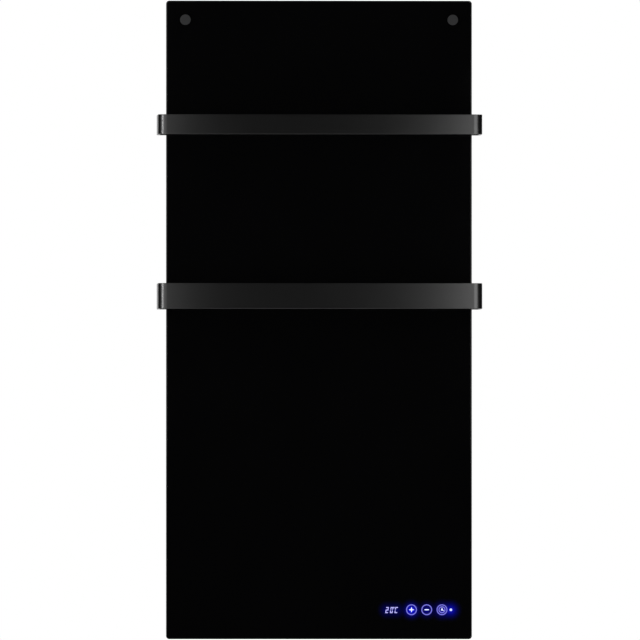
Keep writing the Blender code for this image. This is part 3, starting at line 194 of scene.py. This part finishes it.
def middleOf(node):
    low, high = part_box(node)
    return low, high, (low + high) / 2, (high.x - low.x) / 2


def paint(piece, finish):
    piece.data.materials.clear()
    piece.data.materials.append(finish)


def fit(piece, name, finish=None, replaced=(), body="panel"):
    piece.name = name
    piece.data.name = name
    if finish:
        paint(piece, finish)
    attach(piece, body)
    if replaced:
        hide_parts(*replaced)


# a shader value that can be reckoned with
class Reading:
    def __init__(self, finish, socket):
        self.finish, self.socket = finish, socket

    def maths(self, operation, *others):
        return self.finish.node("Math", {"operation": operation}, dict(enumerate((self,) + others)))

    def __add__(self, other):
        return self.maths("ADD", other)

    def __mul__(self, other):
        return self.maths("MULTIPLY", other)

    def __sub__(self, other):
        return self.maths("SUBTRACT", other)

    def __rsub__(self, other):
        return self.finish.node("Math", {"operation": "SUBTRACT"}, {0: other, 1: self})

    def __truediv__(self, other):
        return self.maths("DIVIDE", other)

    def __pow__(self, other):
        return self.maths("POWER", other)

    def __lt__(self, other):
        return self.maths("LESS_THAN", other)

    __radd__, __rmul__ = __add__, __mul__


class Finish:
    def __init__(self, name, roughness=0.5, metallic=0.0, **fixed):
        self.material = bpy.data.materials.new(name)
        self.material.use_nodes = True
        self.tree = self.material.node_tree
        self.shader = self.tree.nodes["Principled BSDF"]
        self.place = self.node("TexCoord", output="Object")
        for key, value in {"Roughness": roughness, "Metallic": metallic, **fixed}.items():
            self.shader.inputs[key].default_value = value

    def node(self, kind, settings=(), inputs=(), output=0):
        made = self.tree.nodes.new("ShaderNode" + kind)
        for key, value in dict(settings).items():
            setattr(made, key, value)
        for key, value in dict(inputs).items():
            if isinstance(value, Reading):
                self.tree.links.new(value.socket, made.inputs[key])
            else:
                made.inputs[key].default_value = value
        return Reading(self, made.outputs[output])

    def noise(self, scale, detail=3.0):
        return self.node("TexNoise", {"noise_dimensions": "3D"},
                         {"Vector": self.place, "Scale": scale, "Detail": detail})

    def blend(self, mask, first, second):
        return self.node("Mix", {"data_type": "RGBA"}, {0: mask, 6: first, 7: second}, output=2)

    def parts(self):
        split = self.node("SeparateXYZ", inputs={"Vector": self.place}).socket.node
        return [Reading(self, split.outputs[axis]) for axis in "XYZ"]

    def feed(self, socket, value):
        self.tree.links.new(value.socket, self.shader.inputs[socket])

    def emboss(self, height, depth):
        self.feed("Normal", self.node("Bump", inputs={"Height": height, "Distance": depth}))


def shade(colour, factor):
    return tuple(min(1.0, part * factor) for part in colour[:3]) + (1,)


surfaceValues = {"cloudScale": 14, "glossScale": 60, "cloudShare": 0.7, "cloud": 0.25, "gloss": 0.12}


# a coated, moulded or rolled surface: cloudy colour, uneven gloss and a fine grain
def surface(name, colour, roughness, metallic=0.0, grain=1500, depth=0.00003,
            cloud=surfaceValues["cloud"], gloss=surfaceValues["gloss"], **fixed):
    finish = Finish(name, roughness, metallic, **fixed)
    drift = finish.noise(surfaceValues["cloudScale"], 4)
    fine = finish.noise(grain, 3)
    tone = drift * surfaceValues["cloudShare"] + fine * (1 - surfaceValues["cloudShare"])
    finish.feed("Base Color", finish.blend(tone, shade(colour, 1 - cloud), shade(colour, 1 + cloud)))
    finish.feed("Roughness", roughness - gloss / 2 + gloss * finish.noise(surfaceValues["glossScale"], 5))
    finish.emboss(fine, depth)
    return finish.material


railPaint = surface("railPaint", (0.0009, 0.0009, 0.00095), 0.32, grain=2600, depth=0.000006, gloss=0.04,
                    IOR=2.0)
capPaint = surface("capPaint", (0.02, 0.0203, 0.0208), 0.5, grain=3000, depth=0.00001, gloss=0.05, IOR=1.3)
trayPaint = surface("trayPaint", (0.022, 0.022, 0.024), 0.55, grain=900, depth=0.00006)
zincSteel = surface("zincSteel", (0.5, 0.51, 0.53), 0.34, 1.0, grain=500, depth=0.00001, cloud=0.18,
                    gloss=0.2)
moulded = surface("mouldedBlack", (0.016, 0.016, 0.017), 0.48, grain=1900, depth=0.00004)
rubber = surface("rubberBlack", (0.012, 0.012, 0.012), 0.75, grain=1200, depth=0.00005)

# the pieces behind the glass: colour, roughness, metallic, grain scale and grain depth
plainFinishes = {
    "clear_silicone": ((0.6, 0.62, 0.63), 0.4, 0.0, 700, 0.00002),
    "mica": ((0.42, 0.36, 0.26), 0.45, 0.0, 260, 0.00006),
    "heating_alloy": ((0.36, 0.34, 0.32), 0.36, 1.0, 900, 0.00001),
    "insulation": ((0.72, 0.7, 0.66), 0.9, 0.0, 420, 0.0004),
    "ceramic": ((0.7, 0.68, 0.62), 0.6, 0.0, 1400, 0.00003),
    "circuit_board": ((0.01, 0.085, 0.03), 0.25, 0.0, 600, 0.00002),
    "clear_guide": ((0.8, 0.84, 0.92), 0.12, 0.0, 900, 0.00001),
    "touch_film": ((0.5, 0.3, 0.12), 0.18, 0.0, 400, 0.00001),
    "relay_blue": ((0.01, 0.06, 0.3), 0.35, 0.0, 1600, 0.00002),
    "coil_tape": ((0.65, 0.42, 0.05), 0.3, 0.0, 800, 0.00002),
    "terminal_green": ((0.02, 0.22, 0.08), 0.45, 0.0, 1500, 0.00003),
    "white_plastic": ((0.75, 0.75, 0.73), 0.4, 0.0, 1500, 0.00003),
    "live_lead": ((0.13, 0.045, 0.015), 0.45, 0.0, 1500, 0.00002),
    "neutral_lead": ((0.012, 0.06, 0.35), 0.45, 0.0, 1500, 0.00002),
}
bySlot = {slot: surface(slot, colour, roughness, metallic, grain, depth)
          for slot, (colour, roughness, metallic, grain, depth) in plainFinishes.items()}
bySlot.update({"rail_coating": railPaint, "cap_coating": capPaint, "zinc_steel": zincSteel,
               "tray_coating": trayPaint, "black_plastic": moulded, "black_rubber": rubber})

symbols = {"row": -0.924, "face": -0.05, "floor": -0.0497, "plus": 0.1449, "minus": 0.1688,
           "timer": 0.1927, "lamp": 0.2066, "digits": 0.1136, "digitsHalf": 0.0075}

# how far the light of each mark spills under the glass, how bright and how steeply
spills = {"plus": (0.025, 1.35, 5.4), "minus": (0.02, 0.28, 3.1), "timer": (0.022, 0.36, 3.2),
          "lamp": (0.023, 0.68, 4.2), "digits": (0.018, 0.12, 2.6)}

glassValues = {"spillDrop": 0.0005, "spillTo": -0.0494, "spillColour": (0.008, 0.01, 1, 1),
               "darkest": (0.0005, 0.0005, 0.0006, 1), "lightest": (0.001, 0.001, 0.0011, 1),
               "edgeBand": 0.0022, "edgeFade": 0.0008, "polish": 0.03, "haze": 0.03, "groundEdge": 0.37,
               "hazeScale": 9, "rippleScale": 3, "ripple": 0.00004}


# black printed glass with the soft blue spill of the lit keys
def glassFinish():
    finish = Finish("blackGlass", 0.04, 0.0, **{"IOR": 1.5, "Emission Strength": 1.0})
    x, y, z = finish.parts()
    up = z - (symbols["row"] - glassValues["spillDrop"])
    glow = 0.0
    for mark, (reach, height, steepness) in spills.items():
        side = (x - symbols[mark]).maths("ABSOLUTE")
        if mark == "digits":
            side = (side - symbols["digitsHalf"]).maths("MAXIMUM", 0.0)
        distance = (side * side + up * up) ** 0.5
        glow = (1 - (distance / reach).maths("MINIMUM", 1.0)) ** steepness * height + glow
    glow = (glow * (y < glassValues["spillTo"])).maths("MINIMUM", 1.0)
    finish.feed("Emission Color", finish.blend(glow, (0, 0, 0, 1), glassValues["spillColour"]))
    haze = finish.noise(glassValues["hazeScale"], 4)
    finish.feed("Base Color", finish.blend(haze, glassValues["darkest"], glassValues["lightest"]))
    low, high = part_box("front_glass")   # the ground edge is duller than the face
    middle, flat = (low + high) / 2, (high - low) / 2 - Vector((1, 0, 1)) * glassValues["edgeBand"]
    pastSide = (x - middle.x).maths("ABSOLUTE") - flat.x
    past = pastSide.maths("MAXIMUM", (z - middle.z).maths("ABSOLUTE") - flat.z)
    ground = (past / glassValues["edgeFade"]).maths("MAXIMUM", 0.0).maths("MINIMUM", 1.0)
    face = glassValues["polish"] + glassValues["haze"] * haze
    finish.feed("Roughness", face + glassValues["groundEdge"] * ground)
    finish.emboss(finish.noise(glassValues["rippleScale"], 2), glassValues["ripple"])
    return finish.material


blackGlass = glassFinish()
bySlot["black_glass"] = blackGlass

for node, slot in slotOf.items():
    paint(nodes[node], bySlot[slot])
print("finishes made:", len(bySlot))


railValues = {"thick": 0.004, "rearBend": 0.006, "frontBend": 0.012, "tabTo": 0.1538,
              "rearSteps": 8, "frontSteps": 16, "edge": 0.0006}


# one flat strip, bent forward from its left tab, across the front and back to its right tab
def makeRail(node, name):
    low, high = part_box(node)
    half, rear, front = railValues["thick"] / 2, railValues["rearBend"], railValues["frontBend"]
    sideX, frontY, backY = high.x - half, low.y + half, high.y - half
    tabLength = sideX - rear - railValues["tabTo"]
    piece = addBox((-sideX + rear, backY - half, low.z), (-railValues["tabTo"], backY + half, high.z))
    chooseFaces(piece, lambda place, facing: facing.x < -0.9)
    swing(-sideX + rear, backY - rear, railValues["rearSteps"])
    pull(y=(frontY + front) - (backY - rear))
    swing(-sideX + front, frontY + front, railValues["frontSteps"])
    pull(x=2 * (sideX - front))
    swing(sideX - front, frontY + front, railValues["frontSteps"])
    pull(y=(backY - rear) - (frontY + front))
    swing(sideX - rear, backY - rear, railValues["rearSteps"])
    pull(x=-tabLength)
    bpy.ops.object.mode_set(mode="OBJECT")
    weldFaces(piece)
    smoothOver(piece, railValues["edge"], 3, limit=40)
    fit(piece, name, railPaint, [node])


makeRail("towel_rail_upper", "upperRail")
makeRail("towel_rail_lower", "lowerRail")
print("towel rails made")


capValues = {"rearEdge": 0.0003, "frontEdge": 0.0007, "cornerShare": 0.3, "dish": 0.0002, "dishShare": 0.7,
             "sides": 96}
washerValues = {"boreShare": 0.5, "edge": 0.00015, "sides": 96}
barrelValues = {"groove": (-0.0241, -0.0211), "grooveDeep": 0.001, "frontShare": 0.55, "rearShare": 0.5,
                "edge": 0.0003, "sides": 96}


def makeStandoff(side):
    low, high, middle, radius = middleOf("cap_" + side)
    rear, front = capValues["rearEdge"], capValues["frontEdge"]
    corner = capValues["cornerShare"] * front
    cap = turned(middle, "y", [(high.y, radius - rear), (high.y - rear, radius), (low.y + front, radius),
                               (low.y + corner, radius - corner), (low.y, radius - front),
                               (low.y + capValues["dish"], radius * capValues["dishShare"])],
                 capValues["sides"])
    smoothOver(cap, limit=50)
    fit(cap, side + "Cap", capPaint, ["cap_" + side])
    low, high, _, radius = middleOf("front_washer_" + side)
    bore = radius * washerValues["boreShare"]
    washer = turned(middle, "y", [(high.y, radius), (low.y, radius), (low.y, bore)], washerValues["sides"])
    smoothOver(washer, washerValues["edge"], 2)
    fit(washer, side + "Washer", rubber, ["front_washer_" + side])
    low, high, _, radius = middleOf("standoff_barrel_" + side)
    first, last = barrelValues["groove"]
    waist = radius - barrelValues["grooveDeep"]
    barrel = turned(middle, "y", [(low.y, radius * barrelValues["frontShare"]), (low.y, radius),
                                  (first, radius), (first, waist), (last, waist), (last, radius),
                                  (high.y, radius), (high.y, radius * barrelValues["rearShare"])],
                    barrelValues["sides"])
    smoothOver(barrel, barrelValues["edge"], 2, limit=40)
    fit(barrel, side + "Barrel", zincSteel, ["standoff_barrel_" + side])


spacerValues = {"waist": 0.0012, "band": 0.006, "slope": 0.002, "boreShare": 0.5, "edge": 0.0005,
                "sides": 96}
padValues = {"rimShare": 0.62, "cupShare": 0.56, "cupDeep": 0.0005, "edge": 0.0003, "sides": 96}


def makeSpacer(side):
    low, high, middle, radius = middleOf("wall_spacer_" + side)
    band, slope, waist = spacerValues["band"], spacerValues["slope"], radius - spacerValues["waist"]
    bore = radius * spacerValues["boreShare"]
    spacer = turned(middle, "y", [(low.y, bore), (low.y, radius), (low.y + band, radius),
                                  (low.y + band + slope, waist), (high.y - band - slope, waist),
                                  (high.y - band, radius), (high.y, radius), (high.y, bore)],
                    spacerValues["sides"])
    smoothOver(spacer, spacerValues["edge"], 3, limit=24)
    fit(spacer, side + "Spacer", moulded, ["wall_spacer_" + side])
    low, high, _, radius = middleOf("spacer_pad_" + side)
    pad = turned(middle, "y", [(low.y, radius), (high.y, radius), (high.y, radius * padValues["rimShare"]),
                               (high.y - padValues["cupDeep"], radius * padValues["cupShare"])],
                 padValues["sides"])
    smoothOver(pad, padValues["edge"], 2)
    fit(pad, side + "SpacerPad", rubber, ["spacer_pad_" + side])


for side in ("left", "right"):
    makeStandoff(side)
    makeSpacer(side)
print("stand-offs and spacers made")


screwValues = {"shank": 0.0019, "tipShare": 0.6, "tipTall": 0.0008, "head": 0.0022, "seatEdge": 0.0001,
               "rimTo": 0.0009, "shoulder": (0.0013, 0.965), "crossLong": 0.0042, "crossWide": 0.001,
               "crossDeep": 0.0011, "crossOver": 0.001, "turnEach": 37, "sides": 48}
screwDome = ((0.0005, 0.86), (0.0002, 0.7), (0.00005, 0.5), (0.0, 0.25))   # depth and share of the radius


# one domed head with a cross recess, which the others are copies of
def makeScrew():
    low, high, middle, radius = middleOf("rail_screw_upper_left_top")
    seat, top = high.y - screwValues["head"], high.y
    shank, seatEdge, (rise, share) = screwValues["shank"], screwValues["seatEdge"], screwValues["shoulder"]
    steps = [(low.y, shank * screwValues["tipShare"]), (low.y + screwValues["tipTall"], shank), (seat, shank),
             (seat, radius - seatEdge), (seat + seatEdge, radius), (seat + screwValues["rimTo"], radius),
             (seat + rise, radius * share)]
    steps += [(top - drop, radius * share) for drop, share in screwDome]
    screw = turned(middle, "y", steps, screwValues["sides"])
    half = screwValues["crossLong"] / 2, screwValues["crossWide"] / 2
    for wide, tall in (half, half[::-1]):
        cutAway(screw, addBox((middle.x - wide, top - screwValues["crossDeep"], middle.z - tall),
                              (middle.x + wide, top + screwValues["crossOver"], middle.z + tall)))
    smoothOver(screw, limit=40)
    return screw, Vector((middle.x, top, middle.z))


screw, screwPlace = makeScrew()
screwNodes = sorted(node for node in nodes if "_screw_" in node)
for index, node in enumerate(screwNodes):
    low, high, middle, _ = middleOf(node)
    piece = another(screw)
    bpy.ops.transform.rotate(value=math.radians(screwValues["turnEach"] * index), orient_axis="Y",
                             center_override=screwPlace)
    settle(piece)
    moveTo(piece, middle.x - screwPlace.x, high.y - screwPlace.y, middle.z - screwPlace.z)
    words = node.split("_")
    fit(piece, words[0] + "".join(word.title() for word in words[1:]), zincSteel, [node])
bpy.data.objects.remove(screw)
print("screws made:", len(screwNodes))


glandValues = {"flangeThick": 0.0022, "nutTop": 0.0105, "nutFoot": 0.0022, "lip": 0.0006, "boreDeep": 0.009,
               "ribs": 24, "ribsFrom": 0.003, "ribInset": 0.00008, "ribDeep": 0.0003, "sides": 72}
glandRadii = {"flange": 0.0066, "nose": 0.0048, "neck": 0.0044, "nut": 0.0057, "tip": 0.0043, "bore": 0.00375}


def makeGland():
    low, high, middle, _ = middleOf("cable_gland")
    flange, nose, neck, nut, tip, bore = glandRadii.values()
    nutTop = low.z + glandValues["nutTop"]
    neckFoot, nutFoot = nutTop + glandValues["flangeThick"], low.z + glandValues["nutFoot"]
    gland = turned(middle, "z", [(high.z, neck), (neckFoot, neck), (neckFoot, flange), (nutTop, flange),
                                 (nutTop, nut), (nutFoot, nut), (low.z + glandValues["lip"], nose),
                                 (low.z, tip), (low.z, bore), (low.z + glandValues["boreDeep"], bore)],
                   glandValues["sides"])
    step = math.tau / glandValues["ribs"]
    chooseFaces(gland, lambda place, facing: abs(facing.z) < 0.1
                and low.z + glandValues["ribsFrom"] < place.z < nutTop
                and math.hypot(place.x - middle.x, place.y - middle.y) > nose
                and math.atan2(place.y - middle.y, place.x - middle.x) % step < step / 3)
    bpy.ops.mesh.inset(thickness=glandValues["ribInset"], depth=-glandValues["ribDeep"], use_individual=True)
    bpy.ops.object.mode_set(mode="OBJECT")
    smoothOver(gland, limit=30)
    fit(gland, "cableGland", moulded, ["cable_gland"])


makeGland()
print("cable gland made")


rockerValues = {"hinge": (0.223, -0.024, -0.921), "tilt": -12, "edge": 0.00035, "markAt": 0.0042,
                "markRise": 0.00392, "slope": 9.05, "bar": (0.0001, 0.0004, 0.0026), "barEdge": 0.00003,
                "ring": 0.0012, "ringWire": 0.0002}


# the rocker, with a bar for on and a ring for off
def makeRocker():
    fit(copyOf("power_rocker", rockerValues["edge"], 3, limit=28), "switchRocker", moulded, ["power_rocker"],
        body="rocker")
    hinge, tilt = Vector(rockerValues["hinge"]), math.radians(rockerValues["tilt"])
    for side, name in ((1, "onMark"), (-1, "offMark")):
        along, rise = side * rockerValues["markAt"], rockerValues["markRise"]
        place = hinge + Vector((rise * math.cos(tilt) + along * math.sin(tilt), 0,
                                -rise * math.sin(tilt) + along * math.cos(tilt)))
        turn = tilt + side * math.radians(rockerValues["slope"])
        letGo()
        if side > 0:
            bpy.ops.mesh.primitive_cube_add(size=1, location=place, rotation=(0, turn, 0),
                                            scale=rockerValues["bar"])
            mark = settle(bpy.context.object)
            smoothOver(mark, rockerValues["barEdge"], 2)
        else:
            bpy.ops.mesh.primitive_torus_add(major_radius=rockerValues["ring"],
                                             minor_radius=rockerValues["ringWire"],
                                             major_segments=48, minor_segments=12,
                                             location=place, rotation=(0, math.pi / 2 + turn, 0))
            mark = settle(bpy.context.object)
            smoothOver(mark)
        fit(mark, name, bySlot["white_plastic"], body="rocker")


makeRocker()
print("switch rocker made")

# the folded and moulded shells keep the frame's form: name and softened edge
shells = {
    "wall_rail": ("wallRail", 0.0003), "rear_tray": ("rearTray", 0.0003),
    "control_housing": ("controlHousing", 0.0005), "control_cover": ("controlCover", 0.0003),
    "switch_body": ("switchBody", 0.0003), "wire_grommet": ("wireGrommet", 0.0002),
    "room_sensor": ("roomSensor", 0.0002), "standoff_stud_left": ("leftStud", 0.0002),
    "standoff_stud_right": ("rightStud", 0.0002), "tray_gasket": ("trayGasket", 0.0002),
}
for node, (name, edge) in shells.items():
    fit(copyOf(node, edge, limit=34), name, bySlot[slotOf[node]], [node])
print("shells made:", len(shells))


lightValues = {"waveScale": 1400, "base": (0.2, 0.3), "glow": (0.88, 1.0), "roughness": 0.35, "gloss": 0.1}


# a lit mark: pale colour, and a light that wavers a little over the mark
def lightFinish(name, colour, strength=1.0):
    roughness, gloss = lightValues["roughness"], lightValues["gloss"]
    finish = Finish(name, roughness, **{"Emission Strength": strength})
    wave = finish.noise(lightValues["waveScale"], 2)
    for socket, share in (("Base Color", "base"), ("Emission Color", "glow")):
        finish.feed(socket, finish.blend(wave, *[shade(colour, factor) for factor in lightValues[share]]))
    finish.feed("Roughness", roughness - gloss / 2 + gloss * wave)
    return finish.material


markFinishes = {
    "digits": lightFinish("litViolet", (0.5, 0.47, 1.0), 1.1),
    "ring": lightFinish("litBlue", (0.17, 0.16, 0.7)),
    "sign": lightFinish("litPale", (0.72, 0.76, 1.0), 1.1),
    "lamp": lightFinish("litWhite", (0.62, 0.68, 1.0)),
}
markValues = {"from": 0.098, "to": 0.216, "halfTall": 0.012, "ringOver": 0.009}
markEnds = {"litDigits": 0.132, "litPlusKey": 0.157, "litMinusKey": 0.181, "litTimerKey": 0.2035,
            "litLamp": 0.216}
clockValues = {"hands": ((0, 0.0031, 0.0011), (4, 0.0036, 0.0007)), "thick": 0.00012, "proud": 0.00004}


# a hand of the clock lies on the glass and points at its hour
def makeHand(hour, reach, width):
    turn = math.radians(30 * hour)
    place = (symbols["timer"] + reach / 2 * math.sin(turn),
             symbols["face"] - clockValues["proud"] + clockValues["thick"] / 2,
             symbols["row"] + reach / 2 * math.cos(turn))
    letGo()
    bpy.ops.mesh.primitive_cube_add(size=1, location=place, rotation=(0, turn, 0),
                                    scale=(width, clockValues["thick"], reach))
    hand = settle(bpy.context.object)
    paint(hand, markFinishes["sign"])
    return hand


# the lit marks are what fills the shallow recesses of the glass
def makeMarks():
    glass = copyOf("front_glass")
    row, tall = symbols["row"], markValues["halfTall"]
    slab = addBox((markValues["from"], symbols["face"], row - tall),
                  (markValues["to"], symbols["floor"], row + tall))
    modify(slab, "BOOLEAN", operation="DIFFERENCE", object=glass, solver="EXACT")
    take(slab)
    bpy.ops.mesh.separate(type="LOOSE")
    groups = {name: [] for name in markEnds}
    for mark in list(bpy.context.selected_objects):
        across = [corner[0] for corner in mark.bound_box]
        left, right = min(across), max(across)
        name = next(name for name, end in markEnds.items() if (left + right) / 2 < end)
        kind = {"litDigits": "digits", "litLamp": "lamp"}.get(
            name, "ring" if right - left > markValues["ringOver"] else "sign")
        paint(mark, markFinishes[kind])
        groups[name].append(mark)
    groups["litTimerKey"] += [makeHand(*values) for values in clockValues["hands"]]
    for name, members in groups.items():
        letGo()
        for mark in members:
            mark.select_set(True)
        bpy.context.view_layer.objects.active = members[0]
        if len(members) > 1:
            bpy.ops.object.join()
        fit(members[0], name)
    fit(glass, "glassPanel", blackGlass, ["front_glass"])


makeMarks()
print("lit marks made")


studio = {"floor": -1.9, "floorSize": 3.0, "aim": (0, -0.05, -0.47), "from": (-1.362, -40.05, -1.103),
          "frameWidth": 1.0024, "sensor": 36, "shift": (0.00153, -0.00023), "clip": (1.0, 120.0)}

letGo()
bpy.ops.mesh.primitive_circle_add(vertices=128, radius=studio["floorSize"], fill_type="NGON",
                                  location=(0, 0, studio["floor"]))
floor = bpy.context.object
floor.name = "studioFloor"
paint(floor, surface("studioFloorPaint", (0.8, 0.8, 0.8), 0.8, cloud=0.02))

# the soft boxes: the way from the rails to each, its distance, width and brightness, the place across
# the front that it faces, and its lower and upper end
lamps = {
    "rightBox": {"azimuth": 26.3, "reach": 0.397, "width": 0.385, "radiance": 1.6, "across": 0.26,
                 "low": -0.68, "high": -0.06},
    "leftBox": {"azimuth": -63.4, "reach": 1.1, "width": 0.149, "radiance": 9.4, "across": -0.081,
                "low": -0.68, "high": 0.1},
    "leftFill": {"azimuth": -28.6, "reach": 0.256, "width": 0.333, "radiance": 0.57, "across": -0.258,
                 "low": -0.68, "high": 0.3},
}


def addLamp(name, azimuth, reach, width, radiance, across, low, high):
    lamp = bpy.data.lights.new(name, "AREA")
    lamp.shape, lamp.size, lamp.size_y = "RECTANGLE", width, high - low
    lamp.energy = radiance * math.pi * width * (high - low)
    holder = bpy.data.objects.new(name, lamp)
    bpy.context.scene.collection.objects.link(holder)
    turn = math.radians(azimuth)
    way = Vector((math.sin(turn), -math.cos(turn), 0))
    holder.location = Vector((across, cadLow.y, (low + high) / 2)) + way * reach
    holder.rotation_euler = way.to_track_quat("Z", "Y").to_euler()
    holder.visible_camera = False


for name, values in lamps.items():
    addLamp(name, **values)

skyValues = {"behindFrom": 0.75, "frontLevel": 0.01, "softLevel": 0.85}
world = bpy.data.worlds.new("studioWorld")
bpy.context.scene.world = world
world.use_nodes = True
world.cycles.sampling_method = "NONE"   # so that each kind of ray finds its own level
air = world.node_tree


def airNode(kind, settings=(), inputs=(), output=0):
    made = air.nodes.new("ShaderNode" + kind)
    for key, value in dict(settings).items():
        setattr(made, key, value)
    for key, value in dict(inputs).items():
        if hasattr(value, "is_linked"):
            air.links.new(value, made.inputs[key])
        else:
            made.inputs[key].default_value = value
    return made.outputs[output]


# white to the camera, white behind the heater for reflections, dim in front, soft light from all round
ray = airNode("LightPath").node
heading = airNode("TexCoord", output="Generated")
depth = airNode("SeparateXYZ", inputs={"Vector": heading}, output="Y")
behind = airNode("MapRange", {"interpolation_type": "SMOOTHSTEP"},
                 {"Value": depth, "From Min": skyValues["behindFrom"], "From Max": 1.0,
                  "To Min": skyValues["frontLevel"], "To Max": 1.0})
mirrored = airNode("Mix", {"data_type": "FLOAT"},
                   {0: ray.outputs["Is Glossy Ray"], 2: skyValues["softLevel"], 3: behind})
through = airNode("Math", {"operation": "MAXIMUM"},
                  {0: ray.outputs["Is Camera Ray"], 1: ray.outputs["Is Transmission Ray"]})
level = airNode("Mix", {"data_type": "FLOAT"}, {0: through, 2: mirrored, 3: 1.0})
sky = air.nodes["Background"]
sky.inputs["Color"].default_value = (1, 1, 1, 1)
air.links.new(level, sky.inputs["Strength"])

camera = bpy.data.cameras.new("studioCamera")
back = Vector(studio["from"]) - Vector(studio["aim"])
camera.sensor_width = studio["sensor"]
camera.lens = studio["sensor"] * back.length / studio["frameWidth"]
camera.shift_x, camera.shift_y = studio["shift"]
camera.clip_start, camera.clip_end = studio["clip"]
viewer = bpy.data.objects.new("studioCamera", camera)
bpy.context.scene.collection.objects.link(viewer)
viewer.location = studio["from"]
viewer.rotation_euler = back.to_track_quat("Z", "Y").to_euler()
bpy.context.scene.camera = viewer
bpy.context.scene.view_settings.view_transform = "Standard"
print("studio set")
